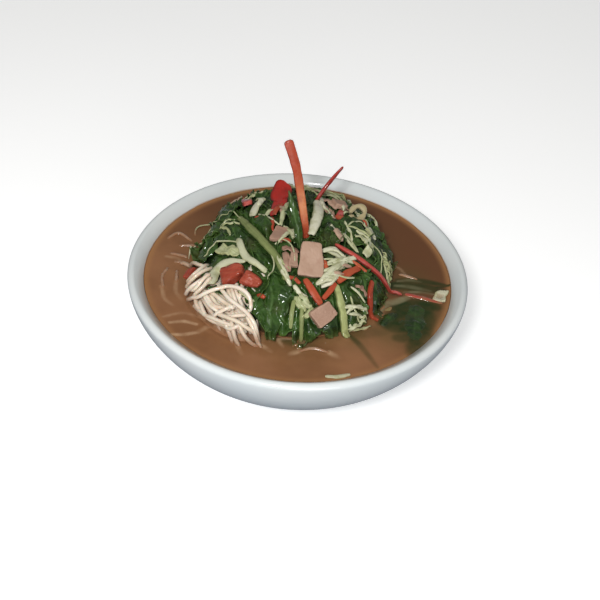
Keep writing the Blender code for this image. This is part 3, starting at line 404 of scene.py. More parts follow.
# Where fine shreds lie tangled: middle, reach, how many, length, tint, heading and how far off it
Tangle = namedtuple("Tangle", "middle reach count length tint heading spread")
TANGLES = [Tangle(*row) for row in (
    ((23, -26), 9, 7, 19, 0.45, 37, 22), ((18, -39), 6, 4, 13, 0.25, 35, 30),
    ((-6, -35), 5, 1, 12, 0.85, 105, 30), ((56, -2), 4, 4, 8, 0.95, -60, 80),
    ((39, -48), 7, 3, 13, 0.6, 30, 25), ((29, 33), 9, 2, 12, 0.6, 0, 90),
    ((-41, 40), 8, 1, 12, 0.9, 20, 60), ((-49, 8), 8, 1, 13, 0.95, 60, 40),
    ((-18, 12), 6, 1, 14, 0.7, 80, 40), ((30, 4), 9, 2, 16, 0.8, -55, 35),
    ((-8, -10), 6, 2, 12, 0.7, 70, 50), ((8, 52), 14, 2, 14, 0.8, 0, 60),
    ((-8, 70), 12, 4, 15, 0.55, 10, 60), ((-38, 58), 9, 2, 14, 0.75, 40, 50),
    ((26, 64), 10, 3, 15, 0.7, -20, 60), ((48, 42), 7, 2, 13, 0.8, -50, 50),
)]
# Thin threads of stem and cabbage over the mound: tint and route
THREADS = (
    (0.6, ((-60, 30, 0.5), (-61, 58, 1), (-58, 71, 1), (-50, 76, 0.6))),
    (0.75, ((-75, 33, -0.4), (-76, 40, 0.5), (-73, 45, 0.8), (-62, 47, 1.5))),
    (0.55, ((-76, 6, 0.2), (-76, 13, 0.8), (-71, 23, 1.6), (-60, 20, 3))),
    (0.6, ((-61, -8, 1.5), (-55, -4, 3), (-48, -7, 3.4), (-39, -12, 3))),
    (0.45, ((-29, 13, 3), (-22, 6, 3.6), (-15, 0, 3))), (0.65, ((28, 2, 2.5), (32, -5, 4), (37, -13, 3))),
    (0.85, ((-70, 28, 1), (-58, 26, 2.6), (-46, 22, 3), (-40, 12, 3))),
    (0.4, ((-6, 16, 3), (0, 10, 4.5), (1, 0, 3))), (0.8, ((45, 2, 2.5), (52, -8, 3.4), (52, -18, 2.5))),
    (0.6, ((-18, -24, 2.5), (-14, -34, 3.6), (-17, -44, 2.5))),
    (0.65, ((20, -34, 2.6), (28, -36, 4), (35, -32, 2.6))),
    (0.7, ((-14, -12, 2.6), (-6, -20, 4), (-3, -33, 3))),
    (0.8, ((33, -43, 1.6), (38, -49, 2.4), (45, -47, 1.4))),
    (0.6, ((30, 8, 2.4), (36, 16, 3.6), (46, 20, 2))),
    (0.75, ((-44, 50, 1.5), (-34, 52, 3), (-24, 46, 2))), (0.7, ((10, 44, 2), (20, 50, 3), (28, 42, 2))),
    (0.9, ((-10, 60, 1.5), (2, 64, 3), (14, 58, 1.5))),
    (0.8, ((-62, 90, -0.3), (-57, 88.5, 0.5), (-51, 90, -0.3))),
)


# ---------------------------------------------------------------- surfaces of the food

def between(ends, share):
    """The value at this share of the way from the first end to the second."""
    return ends[0] + (ends[1] - ends[0]) * share


def heap_reach(heap, x, y):
    """Distance from the heap's middle, as a share of its outline's."""
    turned = Matrix.Rotation(-heap.turn, 2) @ Vector((x - heap.x, y - heap.y))
    return math.hypot(turned.x / heap.half_x, turned.y / heap.half_y)


def heap_height(heap, x, y):
    """Height of the bare heap over the broth."""
    bump = noise.noise(Vector((x, y, 0)) / UNEVEN_SCALE)
    return math.sqrt(max(0.0, 1 - heap_reach(heap, x, y) ** 2)) * (heap.height + UNEVEN * bump)


def rest_height(x, y):
    return BROTH_LEVEL + max(heap_height(GREENS, x, y), heap_height(NOODLES, x, y))


def rest_normal(x, y):
    """Which way is out of the food here, never flatter than the steepest slope."""
    slope = Vector((
        rest_height(x + SLOPE_STEP, y) - rest_height(x - SLOPE_STEP, y),
        rest_height(x, y + SLOPE_STEP) - rest_height(x, y - SLOPE_STEP),
    )) / (2 * SLOPE_STEP)
    if slope.length > STEEPEST:
        slope *= STEEPEST / slope.length
    return Vector((-slope.x, -slope.y, 1)).normalized()


def on_food(place):
    """World position of an (x, y, lift) place in millimetres."""
    x, y, lift = (value * MM for value in place)
    return Vector((x, y, rest_height(x, y))) + rest_normal(x, y) * lift


def over_foot(places):
    """World positions of (x, y, height) places in millimetres over the food at the first one."""
    foot = Vector((0, 0, rest_height(places[0][0] * MM, places[0][1] * MM)))
    return [Vector(place) * MM + foot for place in places]


def search_tree(objects):
    """Nearest-point search over some objects that sit at the origin."""
    points = []
    faces = []
    for obj in objects:
        start = len(points)
        points += [v.co.copy() for v in obj.data.vertices]
        faces += [[start + i for i in face.vertices] for face in obj.data.polygons]
    return BVHTree.FromPolygons(points, faces)


# ---------------------------------------------------------------- drawing meshes

def configured(thing, **settings):
    """The thing, with each of its named settings set."""
    for key, value in settings.items():
        setattr(thing, key, value)
    return thing


def linked(name, data):
    """A new object of this data in the scene."""
    obj = bpy.data.objects.new(name, data)
    bpy.context.scene.collection.objects.link(obj)
    return obj


def meshed(name, bm):
    """The object of a finished mesh."""
    mesh = bpy.data.meshes.new(name)
    bm.to_mesh(mesh)
    bm.free()
    return linked(name, mesh)


def modified(obj, kind, **settings):
    """The object with one modifier worked into its own mesh."""
    configured(obj.modifiers.new(kind.lower(), kind), **settings)
    bpy.context.view_layer.update()
    graph = bpy.context.evaluated_depsgraph_get()
    mesh = bpy.data.meshes.new_from_object(obj.evaluated_get(graph))
    obj.modifiers.clear()
    obj.data = mesh
    return obj


class Draft:
    """A mesh in the making. Each point keeps its place along and across its piece, and a tint."""

    def __init__(self):
        self.bm = bmesh.new()
        self.marks = [self.bm.verts.layers.float.new(name) for name in ("along", "across", "tint")]

    def point(self, co, *values):
        made = self.bm.verts.new(co)
        for mark, value in zip(self.marks, values):
            made[mark] = value
        return made

    def sheet(self, rows, columns, spot):
        """A grid of faces through spot(row, u, v), with u from 0 to 1 and v from -1 to 1."""
        grid = [[self.point(*spot(i, i / rows, 2 * j / columns - 1)) for j in range(columns + 1)]
                for i in range(rows + 1)]
        for row, after in zip(grid, grid[1:]):
            for j in range(columns):
                self.bm.faces.new((row[j], after[j], after[j + 1], row[j + 1]))

    def shape(self, bm, spot):
        """The faces of another mesh, with its points moved and marked by spot(x, y, z)."""
        points = {v: self.point(*spot(*v.co)) for v in bm.verts}
        for face in bm.faces:
            self.bm.faces.new([points[v] for v in face.verts])
        bm.free()

    def finished(self, name, crease=None):
        """The object of this mesh, smooth but for the edges that turn more than the crease."""
        bmesh.ops.recalc_face_normals(self.bm, faces=self.bm.faces)
        for face in self.bm.faces:
            face.smooth = True
        for edge in self.bm.edges if crease else ():
            edge.smooth = edge.calc_face_angle(0.0) < crease
        return meshed(name, self.bm)

    def thickened(self, name, thickness=LEAF_THICKNESS):
        """The object of this thin sheet with its thickness."""
        return modified(self.finished(name), "SOLIDIFY", thickness=thickness, offset=0.0)


def route_length(points):
    return sum((b - a).length for a, b in zip(points, points[1:]))


def smooth_route(places, steps):
    """Evenly spaced places along a smooth curve through the given ones."""
    points = [Vector(place) for place in places]
    points = [2 * points[0] - points[1], *points, 2 * points[-1] - points[-2]]
    fine = []
    for before, start, end, after in zip(points, points[1:], points[2:], points[3:]):
        for t in (k / 12 for k in range(12)):
            fine.append(0.5 * (2 * start + (end - before) * t
                               + (2 * before - 5 * start + 4 * end - after) * t * t
                               + (3 * start - before - 3 * end + after) * t ** 3))
    fine.append(points[-2])
    lengths = [0.0]
    for start, end in zip(fine, fine[1:]):
        lengths.append(lengths[-1] + (end - start).length)
    route = []
    k = 0
    for i in range(steps + 1):
        target = lengths[-1] * i / steps
        while k < len(fine) - 2 and lengths[k + 1] < target:
            k += 1
        share = (target - lengths[k]) / (lengths[k + 1] - lengths[k])
        route.append(fine[k].lerp(fine[k + 1], min(1.0, share)))
    return route


def eased(points, passes=1):
    """Points with the kinks taken out, the two ends held."""
    for _ in range(passes):
        inner = [here.lerp((before + after) / 2, 0.5)
                 for before, here, after in zip(points, points[1:], points[2:])]
        points = [points[0], *inner, points[-1]]
    return points


def laid_route(places):
    """World points a step apart along a route over the food, as the solids lay it."""
    coarse = eased([on_food(place) for place in smooth_route(places, 2 * len(places) + 1)])
    return smooth_route(coarse, max(6, round(route_length(coarse) / ROUTE_STEP)))


def draped_route(places, cover):
    """The same, lifted onto the leaves that lie over it."""
    lifted = []
    for centre in laid_route(places):
        out = rest_normal(centre.x, centre.y)
        found = cover.ray_cast(centre + out * DRAPE_REACH, -out, DRAPE_REACH)[0]
        if found is not None and (found - centre).dot(out) > -DRAPE_CLEARANCE:
            centre = found + out * DRAPE_CLEARANCE
        lifted.append(centre)
    return eased(lifted, 3)


def outward(points):
    """The food's outward direction along a route, turned gently."""
    return [out.normalized() for out in eased([rest_normal(p.x, p.y) for p in points], 6)]


def headings(points):
    """Which way a route runs at each of its points."""
    last = len(points) - 1
    return [(points[min(i + 1, last)] - points[max(i - 1, 0)]).normalized() for i in range(last + 1)]


def carried(points):
    """Directions beside a round strand that never twist round it."""
    outs = []
    out = Vector((0.2, -0.4, 1))
    for ahead in headings(points):
        out = (out - ahead * out.dot(ahead)).normalized()
        outs.append(out)
    return outs


def loft(draft, centres, outs, widths, depths, sides=14, square=SQUARENESS, tint=0.5, cup=0.0,
         relief=None):
    """A closed piece through rounded sections, wide across the outward direction at each centre."""
    travelled = 0.0
    rings = []
    tints = tint if isinstance(tint, list) else [tint] * len(centres)
    for i, (centre, ahead) in enumerate(zip(centres, headings(centres))):
        across = ahead.cross(outs[i]).normalized()
        out = across.cross(ahead)
        if i:
            travelled += (centre - centres[i - 1]).length
        ring = []
        for angle in (2 * math.pi * (k + 0.5) / sides for k in range(sides)):
            c, s = (math.copysign(abs(part) ** square, part)
                    for part in (math.cos(angle), math.sin(angle)))
            swell = 1 + (relief(travelled, angle) if relief else 0.0)
            wide = c * widths[i] / 2 * swell
            thick = s * depths[i] / 2 * swell - cup * c * c * widths[i]
            ring.append(draft.point(centre + across * wide + out * thick, travelled, c, tints[i]))
        rings.append(ring)
    for ring, after in zip(rings, rings[1:]):
        for k in range(sides):
            draft.bm.faces.new((ring[k], ring[k - 1], after[k - 1], after[k]))
    for ring, end, along in ((rings[0], 0, 0.0), (rings[-1], -1, travelled)):
        tip = draft.point(centres[end], along, 0.0, tints[end])
        for k in range(sides):
            draft.bm.faces.new((ring[k - 1], ring[k], tip))
            draft.bm.edges.get((ring[k - 1], ring[k])).smooth = square > CRISP


def end_round(i, last, reach=1.6, least=0.5):
    """Width share near a piece's ends, which are rounded over the last steps."""
    near = min(1.0, min(i, last - i) / reach)
    return math.sqrt(1 - (1 - near) ** 2 * (1 - least * least))


def rounded(value, count, *ends):
    """The value at each of a piece's sections, less at its rounded ends."""
    return [value * end_round(i, count - 1, *ends) for i in range(count)]


def strip_relief(seed, ridges, depth, uneven=0.06):
    """Lengthwise ridges and slow unevenness of a cut strip."""
    def relief(along, angle):
        c, s = math.cos(angle), math.sin(angle)
        slow = noise.noise(Vector((along * 160, seed, c)))
        fine = noise.noise(Vector((along * 500, c * 3, s * 3 + seed)))
        return uneven * slow + 0.05 * fine + depth * math.sin(ridges * angle + seed)
    return relief


# How a finish's strips are cut: ridges round them, their depth, squareness of the section, hollow
# across it, width left at the ends, thinness and unevenness
Cut = namedtuple("Cut", "ridges depth square cup end slim uneven")
CUTS = {
    "pepper_red": Cut(2, 0.01, 0.45, 0.12, 0.45, 1.0, 0.08),
    "carrot_red": Cut(4, 0.012, 0.26, 0.0, 0.92, 0.9, 0.16),
    "stem_green": Cut(7, 0.07, 0.50, 0.08, 0.60, 0.75, 0.22),
    "cabbage_pale": Cut(5, 0.05, 0.50, 0.20, 0.70, 0.55, 0.40),
}
END_WIDTH = 0.68


def draw_strip(draft, strip, seed):
    """A cut strip laid over the food, its ends a little narrower than its middle."""
    cut = CUTS[strip.finish]
    uneven = cut.uneven * strip.calm
    centres = laid_route(strip.route)
    last = len(centres) - 1
    widths = []
    depths = []
    for i, end in enumerate(rounded(1, last + 1, 1.2, cut.end)):
        share = end * (END_WIDTH + (1 - END_WIDTH) * math.sin(math.pi * (i / last)) ** 0.6)
        wave = 1 + uneven * noise.noise(Vector((i * 0.2, seed, 2)))
        widths.append(strip.width * MM * share * between(strip.ends, i / last) * wave)
        depths.append(strip.depth * MM * cut.slim * share)
    loft(draft, centres, outward(centres), widths, depths, square=cut.square, tint=strip.tint,
         cup=cut.cup, relief=strip_relief(seed, cut.ridges, cut.depth, 0.25 * uneven))


def draw_curl(draft, strip):
    """A broad piece of pepper skin, hollow on its inner side and fullest in the middle."""
    centres = laid_route(strip.route)
    last = len(centres) - 1
    widths = [width * (0.5 + 0.95 * math.sin(math.pi * 0.64 * i / last) ** 2)
              for i, width in enumerate(rounded(strip.width * MM, last + 1, 4, 0.45))]
    outs = [out.lerp(CURL_FACING, min(1.0, 1.6 * i / last))
            + noise.noise_vector(Vector((i * 0.3, 4, 0))) * 0.15
            for i, out in enumerate(outward(centres))]
    loft(draft, centres, outs, widths, rounded(0.7 * strip.depth * MM, last + 1, 3), sides=32, square=0.6,
         tint=0.4, cup=-0.13, relief=strip_relief(6.0, 3, 0.05, 0.26))


def food_matrix(place, heading, pitch):
    """Stands local Z out of the food, with local X turned to the heading, then tips it up."""
    out = rest_normal(place[0] * MM, place[1] * MM)
    level = Vector((math.cos(heading), math.sin(heading), 0))
    side = out.cross(level).normalized()
    turn = Matrix((side.cross(out), side, out)).transposed()
    return Matrix.Translation(on_food(place)) @ (turn @ Matrix.Rotation(-pitch, 3, "Y")).to_4x4()


# How a finish's blocks are cut: corner exponent, taper, cells, fibre depth and pitch, depth of the
# pits and unevenness in millimetres
BlockCut = namedtuple("BlockCut", "corner taper cells fibre pitch pits uneven")
BLOCK_CUTS = {
    "cooked_meat": BlockCut(12, 0.12, 26, 0.07, 1.3, 0.22, 0.8),
    "tomato_red": BlockCut(4, 0.30, 22, 0.10, 2.4, 0.36, 1.6),
    "pepper_red": BlockCut(7, 0.15, 14, 0.04, 1.6, 0.12, 1.0),
    "cabbage_pale": BlockCut(7, 0.20, 16, 0.14, 1.3, 0.16, 2.0),
}


def draw_block(draft, block, seed):
    """A cut block with rounded edges, lengthwise fibres and small pits."""
    cut = BLOCK_CUTS[block.finish]
    place = food_matrix(block.place, math.radians(block.heading), math.radians(block.pitch))
    half = Vector(block.size) * MM / 2

    def spot(x, y, z):
        reach = sum(abs(part) ** cut.corner for part in (x, y, z)) ** (1 / cut.corner)
        at = Vector((x / reach * half.x, y / reach * half.y, z / reach * half.z))
        at.y *= 1 - cut.taper * x
        at += noise.noise_vector(at * 120 + Vector((seed, 0, 0))) * cut.uneven * MM
        wander = noise.noise(at * 260 + Vector((0, seed, 0)))
        grain = math.sin(at.y / (cut.pitch * MM) * 2 * math.pi + 3 * wander) * cut.fibre
        pit = max(0.0, noise.noise(at * 700 + Vector((0, 0, seed))) - 0.15) * cut.pits * 3
        at += Vector((x * abs(x), y * abs(y), z * abs(z))).normalized() * (grain - pit) * MM
        return place @ at, at.x, y, block.tint

    bm = bmesh.new()
    bmesh.ops.create_cube(bm, size=2.0)
    bmesh.ops.subdivide_edges(bm, edges=bm.edges[:], cuts=cut.cells, use_grid_fill=True)
    draft.shape(bm, spot)


def draw_carrot_tall(draft):
    """The long carrot stick that stands in the mound and leans back."""
    centres = smooth_route(over_foot(smooth_route(CARROT_TALL_ROUTE, 12)), 80)
    count = len(centres)
    shares = [i / (count - 1) for i in range(count)]
    widths, depths = ([between(ends, s) * MM * end for s, end in zip(shares, rounded(1, count))]
                      for ends in (CARROT_TALL_WIDTH, CARROT_TALL_DEPTH))
    # Orange band along the middle of the stick: partly the carrot's own orange, partly a painted
    # highlight
    tints = [math.exp(-((s - 0.47) / 0.15) ** 2) for s in shares]
    loft(draft, centres, [CARROT_TALL_FACING] * count, widths, depths, square=0.35, tint=tints,
         relief=strip_relief(4.0, *CUTS["carrot_red"][:2]))


def draw_ring(draft):
    """A thick slice of hollow stalk standing on its edge."""
    right = Vector((1, 0, 0)).cross(RING_FACING).cross(RING_FACING).normalized()
    up = RING_FACING.cross(right)
    angles = [RING_START + RING_TURN * k / RING_STEPS for k in range(RING_STEPS + 1)]
    spokes = [right * math.cos(angle) + up * math.sin(angle) for angle in angles]
    centres = [on_food(RING_PLACE) + spoke * RING_RADIUS * (1 + RING_OVAL * math.sin(2 * angle))
               for spoke, angle in zip(spokes, angles)]
    depths = [depth * (1 + 0.2 * math.sin(k * 0.4))
              for k, depth in enumerate(rounded(RING_DEPTH, RING_STEPS + 1))]
    loft(draft, centres, spokes, rounded(RING_WIDTH, RING_STEPS + 1), depths, tint=0.3,
         relief=strip_relief(2.0, 6, 0.04, 0.12))


def make_toppings():
    """Each cut piece as its own object: (object, finish, node)."""
    drawn = []
    for k, strip in enumerate(STRIPS):
        given = (draw_curl, strip) if strip.finish == "pepper_skin" else (draw_strip, strip, k * 2.3)
        drawn.append((strip.node, strip.finish, *given))
    drawn += [(block.node, block.finish, draw_block, block, k * 1.9) for k, block in enumerate(BLOCKS)]
    drawn += [("carrot_stick_tall", "carrot_red", draw_carrot_tall),
              ("cabbage_ring", "stalk_beige", draw_ring)]
    made = []
    for node, finish, draw, *given in drawn:
        draft = Draft()
        draw(draft, *given)
        crease = CARROT_CREASE if finish == "carrot_red" else None
        made.append((draft.finished(node + "_fine", crease), finish, node))
    return made


# ---------------------------------------------------------------- bowl and broth

def wall_curve(top_radius, top_drop, low_radius, low_height, count):
    """(radius, height) points down a rounded wall, from its rim to its floor."""
    top = BOWL_HEIGHT - top_drop
    points = []
    for k in range(count + 1):
        angle = math.pi / 2 * (1 - k / count)
        radius = low_radius + (top_radius - low_radius) * math.sin(angle) ** (2 / BODY_ROUNDNESS)
        points.append((radius, top - (top - low_height) * math.cos(angle) ** (2 / BODY_ROUNDNESS)))
    return points


def inner_wall(count=WALL_POINTS):
    return wall_curve(INNER_RIM_RADIUS, INNER_RIM_DROP, INNER_FLOOR_RADIUS, INNER_FLOOR_HEIGHT, count)


def bowl_profile():
    """(radius, height) points from the middle of the floor over the lip and down to the foot."""
    angles = [LIP_START * (1 - k / LIP_STEPS) for k in range(LIP_STEPS + 1)]
    foot_inside = FOOT_RADIUS - FOOT_WIDTH
    return [
        (0, INNER_FLOOR_HEIGHT - INNER_FLOOR_DISH), *reversed(inner_wall()),
        *((RIM_RADIUS - LIP_RADIUS + LIP_RADIUS * math.cos(angle),
           BOWL_HEIGHT - LIP_RADIUS + LIP_RADIUS * math.sin(angle)) for angle in angles),
        *wall_curve(RIM_RADIUS, LIP_RADIUS, FOOT_RADIUS, FOOT_HEIGHT, WALL_POINTS)[1:],
        (FOOT_RADIUS, FOOT_BEVEL * 1.6), (FOOT_RADIUS - FOOT_BEVEL * 0.3, FOOT_BEVEL * 0.6),
        (FOOT_RADIUS - FOOT_BEVEL, FOOT_BEVEL * 0.15), (FOOT_RADIUS - 2 * FOOT_BEVEL, 0),
        (foot_inside + FOOT_BEVEL, 0), (foot_inside, FOOT_BEVEL),
        (foot_inside - FOOT_BEVEL, FOOT_HEIGHT - 2 * FOOT_BEVEL), (0, FOOT_HEIGHT - FOOT_BEVEL),
    ]


def make_bowl():
    """The bowl turned about its axis from its profile."""
    bm = bmesh.new()
    points = [bm.verts.new((radius, 0, height)) for radius, height in bowl_profile()]
    for start, end in zip(points, points[1:]):
        bm.edges.new((start, end))
    return modified(meshed("bowl_glazed", bm), "SCREW", steps=BOWL_STEPS, render_steps=BOWL_STEPS,
                    use_merge_vertices=True, merge_threshold=0.05 * MM, use_normal_calculate=True,
                    use_smooth_shade=True)


def broth_radius():
    """Radius of the inner wall at the broth's level."""
    wall = inner_wall()
    for (radius, height), (lower_radius, lower_height) in zip(wall, wall[1:]):
        if lower_height < BROTH_LEVEL <= height:
            share = (height - BROTH_LEVEL) / (height - lower_height)
            return radius + (lower_radius - radius) * share - WALL_CLEARANCE
    return INNER_RIM_RADIUS


def broth_top(x, y, edge, contact):
    """Height of the broth: it climbs the bowl's wall and everything that stands in it."""
    climb = max(0.0, (math.hypot(x, y) - edge + MENISCUS_WIDTH) / MENISCUS_WIDTH)
    found = contact.find_nearest(Vector((x, y, BROTH_LEVEL)), CONTACT_SEARCH)
    rise = CONTACT_CLIMB * math.exp(-found[3] / CONTACT_FADE) if found[0] else 0.0
    sway = noise.noise(Vector((x, y, 0)) * 60) * SWAY
    return BROTH_LEVEL + MENISCUS * min(1.0, climb) ** 2 + rise + sway


def make_broth(contact):
    """The broth up to its level: a round top of even cells over walls that follow the bowl."""
    edge = broth_radius()
    bm = bmesh.new()
    bmesh.ops.create_grid(bm, x_segments=BROTH_CELLS, y_segments=BROTH_CELLS, size=1.0)
    for v in bm.verts:
        x = v.co.x * math.sqrt(max(0.0, 1 - v.co.y ** 2 / 2)) * edge
        y = v.co.y * math.sqrt(max(0.0, 1 - v.co.x ** 2 / 2)) * edge
        v.co = (x, y, broth_top(x, y, edge, contact))
    ring = [side for side in bm.edges if side.is_boundary]
    for radius, height in inner_wall(BROTH_WALL_POINTS):
        if height > BROTH_LEVEL - BROTH_WALL_START:
            continue
        grown = bmesh.ops.extrude_edge_only(bm, edges=ring)["geom"]
        ring = [item for item in grown if isinstance(item, bmesh.types.BMEdge) and item.is_boundary]
        for v in {v for side in ring for v in side.verts}:
            v.co = (*(v.co.xy.normalized() * (radius - WALL_CLEARANCE)), height + WALL_CLEARANCE)
    bmesh.ops.contextual_create(bm, geom=ring)
    bmesh.ops.recalc_face_normals(bm, faces=bm.faces)
    broth = meshed("broth_soup", bm)
    broth.data.shade_smooth()
    paint_sunk(broth.data)
    return broth


def nearness(points, sunk):
    """How strongly a sunk thing shows at each (x, y) in metres, with soft edges."""
    route = [place.xy * MM for place in smooth_route([(*place, 0) for place in sunk.route], 14)]
    shown = np.zeros(len(points))
    low, middle, high = sunk.half_widths
    for k, (start, end) in enumerate(zip(route, route[1:])):
        span = np.array(end - start)
        offset = points - np.array(start)
        share = np.clip(offset @ span / (span @ span), 0, 1)
        apart = np.linalg.norm(offset - share[:, None] * span, axis=1)
        place = (k + share) / (len(route) - 1)
        half_width = low + (high - low) * place + 4 * (middle - (low + high) / 2) * place * (1 - place)
        core = np.clip(1 - (apart / (half_width * MM)) ** 2, 0, 1)
        shown = np.maximum(shown, between(sunk.strength, place) * core * core * (3 - 2 * core))
    return shown


def paint_sunk(mesh):
    """Point masks of the noodles and greens that lie just under the broth, and of their stain."""
    points = np.array([v.co.xy for v in mesh.vertices])
    masks = {kind: np.max([nearness(points, Sunk(*row)) for row in rows], axis=0)
             for kind, rows in SUNK.items()}
    masks["near_greens"] = np.array([olive_shade(x, y) for x, y in points])
    for name, values in masks.items():
        mesh.attributes.new(name, "FLOAT", "POINT").data.foreach_set("value", values.astype(np.float32))


def olive_shade(x, y):
    """How much the greens stain the broth here."""
    shade = 0.5 * math.exp(-max(0.0, heap_reach(GREENS, x, y) - 1) / 0.10)
    for middle_x, middle_y, reach, most in OLIVE_SHADE:
        apart = math.hypot(x - middle_x * MM, y - middle_y * MM) / (reach * MM)
        shade = max(shade, most * math.exp(-apart * apart))
    return shade


# ---------------------------------------------------------------- noodles

def clear_of(point, tree, reach):
    """The point, pushed off what lies near it to the given reach."""
    place, normal, _, apart = tree.find_nearest(point, reach + CLEAR_SEARCH)
    if place is None:
        return point
    if (point - place).dot(normal) < 0:
        return place + normal * reach
    return place + (point - place).normalized() * reach if apart < reach else point


def stacked(points, laid):
    """Lifts a strand's points until they lie on the strands laid before."""
    if not laid:
        return points
    below = np.array(laid)
    lifted = []
    for point in points:
        apart = (below[:, 0] - point.x) ** 2 + (below[:, 1] - point.y) ** 2
        near = apart < (2 * STRAND_RADIUS) ** 2
        tops = below[near, 2] + np.sqrt((2 * STRAND_RADIUS) ** 2 - apart[near])
        tops = tops[tops < point.z + STACK_MOST]
        lifted.append(Vector((point.x, point.y, max([point.z, *tops]))))
    return lifted


def row_routes(rng, rows, base):
    """Noodles side by side along their heap, bent at random, with their ends under the broth."""
    turn = Matrix.Rotation(NOODLES.turn, 2)
    routes = []
    for row in range(rows):
        side = -0.95 + 1.45 * (row + rng.uniform(0.2, 0.8)) / rows
        reach = math.sqrt(1 - min(0.94, side * side))
        lean = rng.uniform(-0.35, 0.35)
        bend = rng.uniform(-0.45, 0.45)
        ends = rng.uniform(-0.62, -0.2), rng.uniform(0.75, 1.06)
        route = []
        for share in (0, 0.2, 0.4, 0.6, 0.8, 1):
            along = between(ends, share) * reach * NOODLES.half_x
            over = side + bend * 4 * share * (1 - share) + lean * (share - 0.5)
            flat = turn @ Vector((along, over * NOODLES.half_y))
            lift = base - NOODLE_FLATTEN * abs(2 * share - 1) ** 5 + rng.uniform(-0.8, 0.8)
            route.append(((flat.x + NOODLES.x) / MM, (flat.y + NOODLES.y) / MM, lift))
        routes.append(route)
    return routes


def draw_noodle(draft, points, tint):
    """A round noodle, a little thicker and thinner along its length."""
    size = [width * (1 + 0.07 * noise.noise(Vector((i * 0.13, tint * 50, 0))))
            for i, width in enumerate(rounded(2 * STRAND_RADIUS, len(points), 1.2))]
    loft(draft, points, carried(points), size, size, sides=12, square=1.0, tint=tint)


def make_noodle_strands(toppings):
    """All the noodles of the heap, each resting on those laid before it."""
    rng = random.Random(NOODLE_SEED)
    draft = Draft()
    laid = []
    under = [route for rows, base in NOODLE_ROWS for route in row_routes(rng, rows, base)]
    for route in (*under, *SHOWN_NOODLES):
        points = smooth_route([on_food(place) for place in smooth_route(route, 3 * len(route))], 60)
        points = smooth_route(points, max(10, round(route_length(points) / STRAND_STEP)))
        points = eased(stacked(points, laid), 8)
        points = [clear_of(point, toppings, STRAND_RADIUS + STRAND_GAP) for point in points]
        points = eased(points, 4)
        laid += [tuple(point) for point in points]
        draw_noodle(draft, points, rng.random())
    return draft.finished("noodle_strands")


def make_loose_noodles():
    """The noodles that lie apart in the broth, their ends under it."""
    made = []
    for k, route in enumerate(LOOSE_NOODLES):
        inner = [Vector(place) for place in route]
        first, last = (end + (end - beside).normalized() * NOODLE_END
                       for end, beside in (inner[:2], inner[:-3:-1]))
        places = [(*first.xy, NOODLE_END_LIFT), *(place + NOODLE_DIP for place in inner),
                  (*last.xy, NOODLE_END_LIFT)]
        draft = Draft()
        points = smooth_route([on_food(place) for place in smooth_route(places, 14)], 34)
        draw_noodle(draft, eased(points, 2), 0.8 + 0.07 * k)
        made.append(draft.finished(f"noodle_loose_{k + 1}_fine"))
    return made


def make_heap_core(name, heap, depth, roughness):
    """The body of a heap under its showing pieces, crumpled and a little lower than they lie."""
    turn = Matrix.Rotation(heap.turn, 2)

    def spot(x, y, z):
        flat = turn @ Vector((x * heap.half_x, y * heap.half_y)) * CORE_SHARE
        x, y = flat.x + heap.x, flat.y + heap.y
        height = CORE_UNDERSIDE * (1 - z)
        if z > 0:
            crumple = noise.noise(Vector((x, y, z * 0.02)) * 170)
            height = max(CORE_UNDERSIDE, heap_height(heap, x, y) - depth + crumple * roughness)
        return (x, y, BROTH_LEVEL + height), x, y, CORE_TINT

    bm = bmesh.new()
    bmesh.ops.create_uvsphere(bm, u_segments=CORE_GRID[0], v_segments=CORE_GRID[1], radius=1.0)
    draft = Draft()
    draft.shape(bm, spot)
    return draft.finished(name)


# ---------------------------------------------------------------- greens

def folded(x, y, seed):
    """Crumple of a wilted leaf in millimetres: sharp ridges between soft hollows."""
    warp = noise.noise(Vector((x / 9, y / 9, seed + 4))) * 3
    broad = noise.noise(Vector((x / 9, y / 9, seed)))
    ridge = 1 - 3 * abs(noise.noise(Vector(((x + warp) / 7.5, (y - warp) / 7.5, seed + 9))))
    fine = 1 - 3 * abs(noise.noise(Vector(((x - warp) / 3.4, (y + warp) / 3.4, seed + 17))))
    return 2.3 * broad + 1.1 * max(ridge, -0.5) + 0.4 * max(fine, -0.5)


def leaf_vein(x, y):
    """1 on the midrib and the side veins of a leaf, fading between them."""
    phase = (x - abs(y) * VEIN_SLANT) / VEIN_PITCH
    beside = abs(phase - round(phase)) * VEIN_PITCH
    return max(math.exp(-(y / 0.7) ** 2), 0.7 * math.exp(-(beside / 0.35) ** 2))


def leaf_height(v, x, y, seed):
    """Height in millimetres of a leaf's face over the lie of its middle."""
    side = abs(y)
    phase = (x - side * VEIN_SLANT) / VEIN_PITCH
    quilt = (0.5 - 0.5 * math.cos(2 * math.pi * phase)) * min(1.0, side / 2) * 0.55
    rib = -0.6 * math.exp(-y ** 2)
    tilt = 1.5 * v * math.sin(seed * 2.3)
    curl = abs(v) ** 6 * (1.6 * math.sin(seed * 3.1 + v) + 0.5)
    ruffle = abs(v) ** 4 * math.sin(x / 5.5 * 2 * math.pi + seed * 3 + 2 * v) * 0.9
    return folded(x, y, seed) + quilt + rib + tilt + curl + ruffle


def leaf_half_width(u, leaf, seed, v):
    """Half width along an oval leaf with an uneven, torn margin."""
    form = math.sin(math.pi * (0.05 + 0.9 * u) ** 0.85) ** 0.75
    lobe = 1 + 0.20 * noise.noise(Vector((u * 5, v * 1.5, seed)))
    torn = 0.10 * noise.noise(Vector((u * 22, math.copysign(2, v), seed)))
    return leaf.width / 2 * (0.08 + 0.92 * form) * (lobe + torn * abs(v))


def leaf_place(leaf, x, y):
    """The (x, y) of a point at x along a leaf and y beside its middle."""
    heading = math.radians(leaf.heading)
    along = Vector((math.cos(heading), math.sin(heading)))
    return Vector(leaf.centre) + along * x + Vector((-along.y, along.x)) * y


